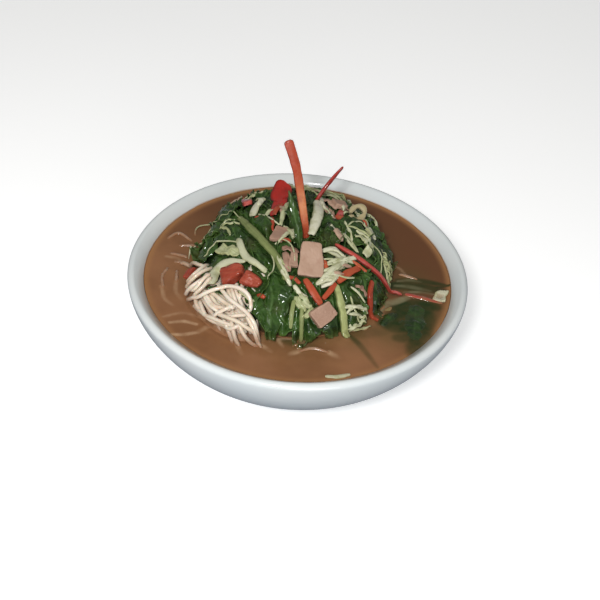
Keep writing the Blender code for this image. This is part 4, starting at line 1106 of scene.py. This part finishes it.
def draw_leaf(draft, leaf, seed, tree):
    """A thin crumpled leaf draped over the food and tucked under what lies on it."""
    bow = 4.0 * math.sin(seed * 1.7)

    def spot(_, u, v):
        x = (u - 0.5) * leaf.length
        y = v * leaf_half_width(u, leaf, seed, v)
        drift = noise.noise_vector(Vector((x / 6, y / 6, seed + 30))) * 1.3
        flat = leaf_place(leaf, x + drift.x, y + drift.y + bow * (2 * u - 1) ** 2)
        rise = leaf.lift + leaf_height(v, x, y, seed)
        at = on_food((*flat, rise))
        found = tree.find_nearest(at, LEAF_NEAR)
        if found[0] is not None:
            room = max(0.0, found[3] / MM - LEAF_ROOM)
            at = on_food((*flat, min(rise, LEAF_UNDER + 1.3 * room)))
        below = on_food((*flat, LEAF_TUCK))
        if tree.ray_cast(at, (below - at).normalized(), (below - at).length)[0] is not None:
            at = below
        return at, leaf_vein(x, y), v, leaf.tint

    draft.sheet(*LEAF_GRID, spot)


def draw_floating_leaf(draft, leaf, seed):
    """A ragged leaf lying on the broth, its margins under."""
    def spot(_, u, v):
        ragged = 1 + 0.25 * noise.noise(Vector((u * 6, v * 2, seed)))
        x = (u - 0.5) * leaf.length
        y = v * leaf_half_width(u, leaf, seed, v) * ragged
        dip = -1.8 * max(0.0, abs(v) - 0.5) / 0.5 - 1.8 * max(0.0, abs(2 * u - 1) - 0.7) / 0.3
        rise = leaf.lift + 0.55 * folded(x, y, seed) + dip
        return on_food((*leaf_place(leaf, x, y), rise)), 0.4 * leaf_vein(x, y), 0.8 * v, leaf.tint

    draft.sheet(*FLOATING_GRID, spot)


def draw_upright_leaf(draft):
    """A long leaf folded along its rib, standing beside the tall carrot stick."""
    centres = over_foot(smooth_route(UPRIGHT_LEAF, UPRIGHT_GRID[0]))

    def spot(i, u, v):
        half = UPRIGHT_HALF_WIDTH * math.sin(math.pi * (0.12 + 0.86 * u)) ** 0.8
        wave = 0.8 * noise.noise(Vector((u * 9, v * 2, 3))) + 0.5 * abs(v) * math.sin(u * 30 + v)
        away = Vector((v * half * 0.9, wave - (1 - abs(v)) * half * 0.5, 0))
        return centres[i] + away * MM, leaf_vein(u * 40, v * half), v, 0.55

    draft.sheet(*UPRIGHT_GRID, spot)


def round_mound(angle, reach):
    """(x, y) in millimetres at this angle and share of the way to the mound's outline."""
    return (GREENS.x / MM + math.cos(angle) * reach * GREENS.half_x / MM,
            GREENS.y / MM + math.sin(angle) * reach * GREENS.half_y / MM)


def spread_leaves(rng):
    """Leaves spread evenly over the mound by the golden angle, hanging down its sides."""
    leaves = []
    for k in range(SPREAD_LEAVES):
        angle = GOLDEN_ANGLE * k
        x, y = round_mound(angle, SPREAD_REACH * math.sqrt((k + 0.5) / SPREAD_LEAVES))
        heading = math.degrees(angle) + rng.uniform(-60, 60)
        length, width, lift = rng.uniform(15, 27), rng.uniform(9, 17), rng.uniform(-0.4, 2.0)
        lift -= BACK_DROP if y > BACK_START else 0
        leaves.append(Leaf((x, y), heading, length, width, lift, rng.random() ** 2.4))
    return leaves


def skirt_leaves(rng):
    """Leaves round the foot of the mound, half in the broth, but not among the noodles."""
    leaves = []
    for k in range(SKIRT_LEAVES):
        angle = 2 * math.pi * (k + rng.uniform(-0.3, 0.3)) / SKIRT_LEAVES
        x, y = round_mound(angle, SKIRT_REACH)
        leaf = Leaf((x, y), math.degrees(angle) + 90 + rng.uniform(-40, 40), rng.uniform(22, 30),
                    rng.uniform(14, 19), rng.uniform(-0.2, 0.6), rng.random() ** 2)
        if heap_reach(NOODLES, x * MM, y * MM) >= 1 and y > SKIRT_FRONT:
            leaves.append(leaf)
    return leaves


def make_leaves(tree):
    """The greens in joined pieces: high, low and at the foot of the mound, and laid as listed."""
    rng = random.Random(LEAF_SEED)
    spread = spread_leaves(rng)
    half = SPREAD_LEAVES // 2
    made = []
    seed = 0.0
    for name, leaves in (("top", spread[:half]), ("side", spread[half:]), ("foot", skirt_leaves(rng)),
                         ("laid", LAID_LEAVES)):
        draft = Draft()
        for leaf in leaves:
            seed += 1.37
            draw_leaf(draft, leaf, seed, tree)
        made.append(draft.thickened("greens_leaves_" + name))
    return made


def draw_ribbon(draft, ribbon, seed, cover):
    """A thin ruffled shred along a route over the food, turning about its own length."""
    centres = draped_route(ribbon.route, cover)
    outs = outward(centres)
    aheads = headings(centres)

    def spot(i, u, v):
        side = aheads[i].cross(outs[i]).normalized()
        angle = math.radians(between(ribbon.twist, u)) + 0.5 * noise.noise(Vector((u * 4, seed, 0)))
        across = side * math.cos(angle) + side.cross(aheads[i]) * math.sin(angle)
        half = ribbon.width / 2 * MM * (0.55 + 0.45 * math.sin(math.pi * u) ** 0.5)
        jag = 1 + 0.15 * noise.noise(Vector((u * 7, v, seed)))
        wave = ribbon.ruffle * abs(v) * math.sin(i * 0.9 + seed + 2 * v)
        wave += 0.7 * noise.noise(Vector((i * 0.25, v * 1.2, seed + 5))) - 0.7 * v * v
        at = centres[i] + across * v * half * jag + across.cross(aheads[i]) * wave * MM
        return at, i * ROUTE_STEP, v, ribbon.tint

    draft.sheet(len(centres) - 1, SHRED_COLUMNS, spot)


def tangled(rng, tangle):
    """Fine shreds lying across each other round a place."""
    made = []
    for _ in range(tangle.count):
        spin = rng.uniform(0, 2 * math.pi)
        reach = tangle.reach * math.sqrt(rng.random())
        x, y = tangle.middle[0] + reach * math.cos(spin), tangle.middle[1] + reach * math.sin(spin)
        heading = math.radians(tangle.heading + rng.uniform(-tangle.spread, tangle.spread))
        half = tangle.length * rng.uniform(0.3, 0.65)
        bow = rng.uniform(-0.5, 0.5) * half
        dx, dy = math.cos(heading), math.sin(heading)
        route = ((x - dx * half, y - dy * half, 2.4), (x - dy * bow, y + dx * bow, rng.uniform(3.6, 5.2)),
                 (x + dx * half, y + dy * half, 2.4))
        tint = min(1.0, max(0.0, tangle.tint + rng.uniform(-0.25, 0.25)))
        width = rng.uniform(0.9, 2.6)
        made.append((width, tint, 0.5, (rng.uniform(-40, 40), rng.uniform(-40, 40)), route))
    return made


def make_strewn(cover):
    """The threads, shreds, scraps and bits that lie loose on the greens: (object, finish)."""
    rng = random.Random(SHRED_SEED)
    fine = [row for tangle in TANGLES for row in tangled(rng, tangle)]
    made = [(make_threads(cover), "cabbage_pale")]
    for name, finish, rows, seed in (("cabbage_shreds", "cabbage_pale", SHREDS, 0.0),
                                     ("cabbage_shreds_fine", "cabbage_pale", fine, 50.0),
                                     ("meat_scraps", "cooked_meat", SCRAPS, 20.0),
                                     ("carrot_bits", "carrot_red", RED_BITS, 30.0)):
        draft = Draft()
        for k, row in enumerate(rows):
            draw_ribbon(draft, Ribbon(*row), seed + k * 2.7, cover)
        made.append((draft.thickened(name, SHRED_THICKNESS), finish))
    return made


def make_threads(cover):
    """Thin round threads over the mound."""
    rng = random.Random(THREAD_SEED)
    draft = Draft()
    for k, (tint, route) in enumerate(THREADS):
        centres = draped_route(route, cover)
        widths = [width * (1 + 0.2 * noise.noise(Vector((i * 0.2, k, 0))))
                  for i, width in enumerate(rounded(rng.uniform(*THREAD_WIDTHS) * MM, len(centres)))]
        loft(draft, centres, outward(centres), widths, [0.7 * width for width in widths], sides=10,
             square=0.8, tint=tint)
    return draft.finished("cabbage_threads")


# ---------------------------------------------------------------- shader parts

class Paint:
    """Short ways to lay nodes in the shader tree of a material, group or world."""

    def __init__(self, tree):
        self.tree = tree

    def feed(self, socket, value):
        """Sets a socket to a value or a colour, or links it from another socket."""
        if isinstance(value, bpy.types.NodeSocket):
            self.tree.links.new(value, socket)
        else:
            socket.default_value = (*value, 1.0) if isinstance(value, tuple) else value

    def put(self, kind, feeds=None, **settings):
        """A node with its settings and what feeds its inputs."""
        node = configured(self.tree.nodes.new("ShaderNode" + kind), **settings)
        for key, value in (feeds or {}).items():
            self.feed(node.inputs[key], value)
        return node

    def maths(self, operation, a, b=0.0):
        return self.put("Math", {0: a, 1: b}, operation=operation).outputs[0]

    def times(self, a, b):
        return self.maths("MULTIPLY", a, b)

    def layered(self, colour, *layers):
        """The colour with each (share, colour) laid over those before it."""
        for share, over in layers:
            colour = self.put("Mix", {0: share, 6: colour, 7: over}, data_type="RGBA").outputs[2]
        return colour

    def ranged(self, value, low, high, start=0.0, end=1.0):
        """The value's place between low and high, eased, put between start and end."""
        feeds = {"Value": value, "From Min": low, "From Max": high, "To Min": start, "To Max": end}
        return self.put("MapRange", feeds, interpolation_type="SMOOTHSTEP").outputs["Result"]

    def attribute(self, name):
        return self.put("Attribute", attribute_name=name).outputs["Fac"]

    def place(self):
        return self.put("TexCoord").outputs["Object"]

    def parted(self, place):
        """The place's X, Y and Z."""
        return self.put("SeparateXYZ", {0: place}).outputs

    def speckle(self, scale, detail=2, place=None):
        feeds = {"Vector": place or self.place(), "Scale": scale, "Detail": detail}
        return self.put("TexNoise", feeds).outputs["Fac"]

    def clouds(self, scale, detail, *limits):
        return self.ranged(self.speckle(scale, detail), *limits)

    def across_bowl(self):
        """The parted place, and its distance from the bowl's axis."""
        parts = self.parted(self.place())
        flat = self.put("CombineXYZ", {0: parts["X"], 1: parts["Y"]}).outputs[0]
        return parts, self.put("VectorMath", {0: flat}, operation="LENGTH").outputs["Value"]

    def grouped(self, name, **feeds):
        """The outputs of a shared group placed with its own values."""
        feeds = {label.replace("_", " "): value for label, value in feeds.items()}
        return self.put("Group", feeds, node_tree=GROUPS[name]).outputs

    def soaked(self, colour, fade, stain, broth=BROTH_COLOUR):
        return self.grouped("broth_soak", Color=colour, Fade=fade, Stain=stain, Broth=broth)["Color"]

    def wet(self, wet, dull, scale):
        return self.grouped("wet_patches", Wet=wet, Dull=dull, Scale=scale)["Roughness"]

    def wire(self, colour, roughness, *bumps):
        """Feeds colour, roughness and stacked bumps (height, strength, distance) to the shader."""
        self.feed(self.shader.inputs["Base Color"], colour)
        self.feed(self.shader.inputs["Roughness"], roughness)
        into = self.shader.inputs["Normal"]
        for height, strength, distance in reversed(bumps):
            bump = self.put("Bump", {"Height": height, "Strength": strength, "Distance": distance})
            self.feed(into, bump.outputs["Normal"])
            into = bump.inputs["Normal"]
        return self.material


def new_material(name, **constants):
    """The paint of a new material, with its shader's constant values set on its own sockets."""
    material = bpy.data.materials.new(name)
    material.use_nodes = True
    shader = material.node_tree.nodes["Principled BSDF"]
    paint = configured(Paint(material.node_tree), material=material, shader=shader)
    for label, value in constants.items():
        paint.feed(shader.inputs[label.replace("_", " ")], value)
    return paint


def new_group(name, build, **inputs):
    """A node group with named inputs, whose named outputs are what build gives."""
    group = bpy.data.node_groups.new(name, "ShaderNodeTree")

    def socket(label, way):
        kind = "NodeSocketColor" if label in ("Color", "Broth") else "NodeSocketFloat"
        return group.interface.new_socket(label, in_out=way, socket_type=kind)

    for label, value in inputs.items():
        socket(label.replace("_", " "), "INPUT").default_value = value
    made = build(Paint(group), group.nodes.new("NodeGroupInput").outputs)
    for label in made:
        socket(label, "OUTPUT")
    end = group.nodes.new("NodeGroupOutput")
    for label, value in made.items():
        group.links.new(value, end.inputs[label])
    return group


def broth_soak(paint, given):
    """Turns a food's colour into the broth's where it goes under, and stains what lies just above."""
    place = paint.place()
    wander = paint.times(paint.maths("SUBTRACT", paint.speckle(220, 2, place), 0.5), 1.6 * MM)
    over = paint.maths("SUBTRACT", paint.maths("ADD", paint.parted(place)["Z"], wander), given["Level"])
    under = paint.maths("SUBTRACT", 1.0, paint.ranged(over, 0.0, given["Fade"]))
    near = paint.ranged(over, 0.0, paint.times(given["Fade"], 4.0), 1.0, 0.0)
    soaked = paint.maths("MAXIMUM", under, paint.times(near, given["Stain"]))
    return {"Color": paint.layered(given["Color"], (soaked, given["Broth"]))}


def long_fibres(paint, given):
    """Streaks along a cut piece, as a mask and a height."""
    place = paint.put("CombineXYZ", {
        0: paint.times(paint.attribute("along"), given["Scale Along"]),
        1: paint.times(paint.attribute("across"), given["Scale Across"]),
        2: paint.times(paint.attribute("tint"), 37.0)}).outputs[0]
    streak = paint.speckle(1.0, 3, place)
    return {"Mask": paint.ranged(streak, 0.35, 0.65), "Height": streak}


def wet_patches(paint, given):
    """Roughness that runs from wet film to duller patches."""
    patches = paint.speckle(given["Scale"], 3)
    return {"Roughness": paint.ranged(patches, 0.38, 0.62, given["Wet"], given["Dull"])}


GROUPS = {
    "broth_soak": new_group("broth_soak", broth_soak, Color=(1, 1, 1, 1), Broth=(*BROTH_COLOUR, 1),
                            Level=BROTH_LEVEL, Fade=2.0 * MM, Stain=0.3),
    "long_fibres": new_group("long_fibres", long_fibres, Scale_Along=90.0, Scale_Across=7.0),
    "wet_patches": new_group("wet_patches", wet_patches, Wet=0.12, Dull=0.45, Scale=120.0),
}


# ---------------------------------------------------------------- materials

def make_glaze():
    """White glaze, faintly clouded, with a film of broth at its level and a bare foot."""
    paint = new_material("glazed_white", Coat_Weight=0.3, Coat_Roughness=0.05)
    parts, radius = paint.across_bowl()
    over = paint.maths("SUBTRACT", paint.maths("SUBTRACT", parts["Z"], paint.times(
        paint.speckle(60), 1.6 * MM)), BROTH_LEVEL)
    film = paint.times(paint.ranged(over, -0.4 * MM, 1.0 * MM, 1.0, 0.0),
                       paint.maths("LESS_THAN", radius, INNER_RIM_RADIUS + 0.5 * MM))
    film = paint.times(paint.times(film, paint.ranged(over, -4 * MM, -3 * MM)), 0.75)
    bare = paint.ranged(parts["Z"], 0.4 * MM, 1.0 * MM, 1.0, 0.0)
    colour = paint.layered((0.66, 0.70, 0.705), (paint.clouds(18, 3, 0.3, 0.7), (0.71, 0.735, 0.725)),
                           (film, (0.42, 0.24, 0.12)), (bare, (0.62, 0.56, 0.48)))
    rough = paint.maths("MAXIMUM", paint.clouds(240, 2, 0.3, 0.7, 0.10, 0.17), paint.times(bare, 0.7))
    return paint.wire(colour, rough, (paint.speckle(45), 0.06, 1 * MM))


def make_broth_material():
    """Brown broth, darkened to the back right by painted shade, thin at the wall, with what lies just
    under it.
    """
    paint = new_material("broth", Coat_Weight=0.05, Coat_Roughness=0.03, Specular_IOR_Level=0.14)
    parts, radius = paint.across_bowl()
    lean = paint.maths("ADD", paint.times(parts["X"], 0.6), parts["Y"])
    edge = paint.ranged(radius, RIM_RADIUS * 0.855, RIM_RADIUS * 0.905)
    colour = paint.layered(
        BROTH_COLOUR,
        (paint.clouds(22, 4, 0.35, 0.7), (0.205, 0.092, 0.040)),
        (paint.clouds(75, 3, 0.4, 0.75, 0.0, 0.25), (0.30, 0.145, 0.062)),
        # Painted shade: the broth is darkened towards the back right, where less light falls
        (paint.ranged(lean, -55 * MM, 45 * MM, 0.0, 0.88), (0.118, 0.047, 0.020)),
        (paint.attribute("near_greens"), (0.105, 0.078, 0.026)),
        (paint.times(paint.maths("POWER", edge, 1.3), 0.75), (0.36, 0.175, 0.070)))
    for name, under, least in (("leaf_under", (0.022, 0.036, 0.010), 0.85),
                               ("stem_under", (0.225, 0.205, 0.115), 0.45),
                               ("noodle_under", (0.56, 0.37, 0.22), 0.45)):
        shown = paint.times(paint.attribute(name), paint.clouds(140, 3, 0.3, 0.7, least, 1.1))
        colour = paint.layered(colour, (paint.maths("MINIMUM", shown, 1.0), under))
    return paint.wire(colour, paint.clouds(90, 2, 0.3, 0.7, 0.08, 0.16),
                      (paint.speckle(130), 0.05, 1 * MM))


def make_noodle_material():
    paint = new_material("noodle", Subsurface_Weight=0.12, Subsurface_Scale=1.5 * MM, Coat_Weight=0.3,
                         Coat_Roughness=0.12)
    colour = paint.layered((0.80, 0.715, 0.60), (paint.attribute("tint"), (0.70, 0.58, 0.44)),
                           (paint.clouds(110, 3, 0.48, 0.72, 0.0, 0.55), (0.56, 0.38, 0.24)))
    return paint.wire(paint.soaked(colour, 4.2 * MM, 0.65), paint.wet(0.16, 0.34, 180),
                      (paint.speckle(600, 3), 0.12, 0.3 * MM))


def make_leaf_material(name, *soak):
    """Wilted greens: dark and olive blotches, paler veins and margins, wet film over folds."""
    paint = new_material(name, Coat_Weight=0.55, Coat_Roughness=0.06, Specular_IOR_Level=0.2)
    vein = paint.attribute("along")
    share = paint.maths("ADD", paint.times(paint.clouds(130, 4, 0.35, 0.7), 0.5),
                        paint.times(paint.attribute("tint"), 0.5))
    margin = paint.ranged(paint.maths("ABSOLUTE", paint.attribute("across")), 0.86, 1.0, 0.0, 0.45)
    colour = paint.layered((0.005, 0.015, 0.003), (share, (0.040, 0.096, 0.014)),
                           (paint.clouds(55, 3, 0.5, 0.75, 0.0, 0.6), (0.046, 0.050, 0.012)),
                           (paint.times(vein, 0.40), (0.10, 0.18, 0.05)), (margin, (0.09, 0.16, 0.035)))
    return paint.wire(paint.soaked(colour, *soak), paint.wet(0.14, 0.60, 150),
                      (paint.speckle(500, 3), 0.20, 0.5 * MM), (paint.speckle(240), 0.35, 1.0 * MM),
                      (vein, 0.25, 0.4 * MM))


def make_core_material(name, low, high):
    """The body of a heap between its showing pieces, darkened with painted shade."""
    paint = new_material(name, Specular_IOR_Level=0.2)
    colour = paint.layered(low, (paint.clouds(160, 4, 0.3, 0.7), high))
    return paint.wire(paint.soaked(colour, 2.0 * MM, 0.2), 0.5, (paint.speckle(260, 4), 0.8, 1.2 * MM))


# How cut pieces look: low and high tint, streak, patch and edge; fibres along and across, their
# share of the mask and bump; wet and dull roughness; weight of the wet coat; bump of soft lumps
Finish = namedtuple("Finish", "low high streak patch rim fibre wet coat lumps", defaults=(0.12, 0.1))
FINISHES = {
    "cabbage_pale": Finish((0.66, 0.64, 0.50), (0.26, 0.30, 0.11), (0.66, 0.63, 0.44), (0.30, 0.30, 0.12),
                           (0.42, 0.42, 0.20), (70, 7, 0.40, 0.5), (0.16, 0.42)),
    "stem_green": Finish((0.115, 0.150, 0.045), (0.40, 0.43, 0.18), (0.28, 0.31, 0.12),
                         (0.09, 0.11, 0.030), (0.07, 0.09, 0.025), (60, 9, 0.5, 0.6), (0.16, 0.40)),
    "carrot_red": Finish((0.35, 0.046, 0.022), (0.54, 0.200, 0.075), (0.44, 0.105, 0.042),
                         (0.24, 0.032, 0.016), (0.27, 0.036, 0.018), (55, 5, 0.35, 0.35), (0.14, 0.36)),
    # For pepper_red the patch colour is a painted pink highlight, laid on in random patches
    "pepper_red": Finish((0.34, 0.014, 0.008), (0.48, 0.090, 0.070), (0.46, 0.06, 0.040),
                         (0.54, 0.17, 0.16), (0.13, 0.012, 0.008), (40, 3, 0.20, 0.15), (0.07, 0.22),
                         0.6, 0.3),
    "pepper_skin": Finish((0.30, 0.008, 0.005), (0.42, 0.022, 0.012), (0.36, 0.020, 0.012),
                          (0.12, 0.006, 0.003), (0.045, 0.004, 0.003), (60, 3, 0.30, 0.30), (0.05, 0.22),
                          1.0, 0.4),
    "stalk_beige": Finish((0.50, 0.42, 0.26), (0.42, 0.35, 0.19), (0.56, 0.50, 0.34), (0.26, 0.21, 0.10),
                          (0.32, 0.26, 0.13), (60, 6, 0.40, 0.4), (0.16, 0.42)),
    "tomato_red": Finish((0.27, 0.036, 0.019), (0.33, 0.062, 0.035), (0.40, 0.11, 0.060),
                         (0.20, 0.028, 0.013), (0.24, 0.034, 0.017), (120, 4, 0.4, 0.2), (0.10, 0.40),
                         0.12, 0.3),
    "cooked_meat": Finish((0.26, 0.135, 0.095), (0.50, 0.350, 0.250), (0.42, 0.27, 0.19),
                          (0.33, 0.19, 0.13), (0.40, 0.255, 0.180), (160, 26, 0.30, 0.25), (0.34, 0.62),
                          0.0),
}


def make_cut_material(name, look):
    """A cut vegetable or meat: two tints, streaks, darker edges, wet patches and broth where it dips."""
    paint = new_material(name, Coat_Roughness=0.06, Coat_Weight=look.coat, Specular_IOR_Level=0.28)
    along, across, share, bump = look.fibre
    fibres = paint.grouped("long_fibres", Scale_Along=along, Scale_Across=across)
    edge = paint.ranged(paint.maths("ABSOLUTE", paint.attribute("across")), 0.70, 1.0, 0.0, 0.7)
    # Patches of another tone; for pepper_red these are a painted pink highlight
    colour = paint.layered(look.low, (paint.attribute("tint"), look.high),
                           (paint.times(fibres["Mask"], share), look.streak),
                           (paint.clouds(140, 4, 0.5, 0.72, 0.0, 0.6), look.patch), (edge, look.rim))
    return paint.wire(paint.soaked(colour, 1.4 * MM, 0.15), paint.wet(*look.wet, 170),
                      (fibres["Height"], bump, 0.4 * MM), (paint.speckle(700, 3), 0.15, 0.3 * MM),
                      (paint.speckle(190), look.lumps, 2.0 * MM))


MATERIALS = {
    "glazed_white": make_glaze(),
    "broth": make_broth_material(),
    "noodle": make_noodle_material(),
    # Brown of the noodles' body: partly soaked in broth, partly painted shade between the strands
    "noodle_soaked_and_shaded": make_core_material("noodle_soaked_and_shaded", (0.16, 0.075, 0.035), (0.34, 0.20, 0.11)),
    "leaf_green": make_leaf_material("leaf_green", 1.4 * MM, 0.12),
    "leaf_soaked": make_leaf_material("leaf_soaked", 1.0 * MM, 0.05, (0.030, 0.040, 0.012)),
    # Near-black green of the greens' body: painted shade in the gaps between the leaves
    "leaf_core_painted_shade": make_core_material("leaf_core_painted_shade", (0.003, 0.008, 0.003),
                                          (0.014, 0.030, 0.008)),
    **{name: make_cut_material(name, look) for name, look in FINISHES.items()},
}


# ---------------------------------------------------------------- putting it together

def settle(obj, finish, *nodes):
    """Gives a piece its material and body, and hides the plain solids it stands for."""
    obj.data.materials.clear()
    obj.data.materials.append(MATERIALS[finish])
    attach(obj, "root")
    if nodes:
        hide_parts(*nodes)


def dress_food():
    """Makes every piece of the dish over its solid."""
    beside, under = (search_tree([node for name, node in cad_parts.items() if name not in bare])
                     for bare in (("bowl", "broth", "greens_heap", "noodle_heap"), ("bowl", "broth")))
    settle(make_bowl(), "glazed_white", "bowl")
    settle(make_broth(under), "broth", "broth")
    for obj, finish, node in make_toppings():
        settle(obj, finish, node)
    for k, obj in enumerate(make_loose_noodles()):
        settle(obj, "noodle", f"noodle_loose_{k + 1}")
    settle(make_heap_core("greens_core", GREENS, 2.2 * MM, 2.0 * MM), "leaf_core_painted_shade", "greens_heap")
    leaves = make_leaves(beside)
    upright = Draft()
    draw_upright_leaf(upright)
    for obj in (*leaves, upright.thickened("leaf_upright")):
        settle(obj, "leaf_green", "greens_heap")
    settle(make_heap_core("noodle_core", NOODLES, 6.5 * MM, 1.6 * MM), "noodle_soaked_and_shaded", "noodle_heap")
    settle(make_noodle_strands(beside), "noodle", "noodle_heap")
    for k, (node, leaf) in enumerate(FLOATING_LEAVES):
        draft = Draft()
        draw_floating_leaf(draft, leaf, 3.1 * (k + 1))
        settle(draft.thickened(node + "_fine"), "leaf_soaked", node)
    for obj, finish in make_strewn(search_tree(leaves)):
        settle(obj, finish)


# ---------------------------------------------------------------- stage, light and camera

VIEW_HEIGHT = math.radians(40.72)
VIEW_ROLL = math.radians(4.17)
VIEW_DISTANCE = 0.600
VIEW_CENTRE = (0.0025, -0.0363)
SENSOR = 36.0
LENS = 55.434
MIDDLE = (0, 0, 0.06)


def make_floor():
    """A plain pale floor that lies under the object without throwing light up at it."""
    bm = bmesh.new()
    bmesh.ops.create_grid(bm, x_segments=1, y_segments=1, size=6.0)
    floor = configured(meshed("floor", bm), visible_diffuse=False, visible_glossy=False)
    paint = new_material("floor_pale", Specular_IOR_Level=0.0, Emission_Color=(1.0, 1.0, 1.0),
                         Emission_Strength=0.40)
    pale = paint.layered((0.90, 0.90, 0.90), (paint.clouds(1.5, 2, 0.3, 0.7), (0.92, 0.92, 0.92)))
    floor.data.materials.append(paint.wire(pale, 0.9))


def add_light(name, place, target, size, power, glossy=True):
    """A round lamp at a place, turned to its target."""
    light = configured(bpy.data.lights.new(name, "AREA"), shape="DISK", size=size, energy=power)
    turn = (Vector(target) - Vector(place)).to_track_quat("-Z", "Y").to_euler()
    configured(linked(name, light), visible_glossy=glossy, location=place, rotation_euler=turn)


def make_light():
    """A soft room, cooler from below, with broad lamps and a small one by the viewer."""
    world = configured(bpy.data.worlds.new("studio"), use_nodes=True)
    paint = Paint(world.node_tree)
    above = paint.ranged(paint.parted(paint.put("TexCoord").outputs["Generated"])["Z"], -0.15, 0.15)
    room, mirrored = (paint.layered(below, (above, (0.24, 0.24, 0.23)))
                      for below in ((0.40, 0.44, 0.50), (0.20, 0.22, 0.25)))
    seen = paint.put("LightPath").outputs["Is Glossy Ray"]
    paint.feed(world.node_tree.nodes["Background"].inputs["Color"], paint.layered(room, (seen, mirrored)))
    bpy.context.scene.world = world
    add_light("flash", (-0.10, -0.62, 0.62), MIDDLE, 0.09, 3.4)
    add_light("soft_top", (-0.15, -0.60, 0.95), MIDDLE, 0.7, 4.0, glossy=False)
    add_light("soft_front", (0.25, -1.25, 0.30), (0, 0, 0.05), 0.7, 4.0)


def make_camera():
    """The camera over the front of the bowl, rolled a little."""
    back = Vector((0, -math.cos(VIEW_HEIGHT), math.sin(VIEW_HEIGHT)))
    up = Vector((0, math.sin(VIEW_HEIGHT), math.cos(VIEW_HEIGHT)))
    turn = Matrix((Vector((1, 0, 0)), up, back)).transposed().to_4x4()
    turn = turn @ Matrix.Rotation(VIEW_ROLL, 4, "Z")
    place = Vector((*VIEW_CENTRE, BOWL_HEIGHT)) + back * VIEW_DISTANCE
    data = configured(bpy.data.cameras.new("camera"), sensor_width=SENSOR, lens=LENS, clip_start=0.01)
    bpy.context.scene.camera = linked("camera", data)
    bpy.context.scene.camera.matrix_world = Matrix.Translation(place) @ turn


make_camera()
dress_food()
make_floor()
make_light()
bpy.context.scene.view_settings.view_transform = "Standard"
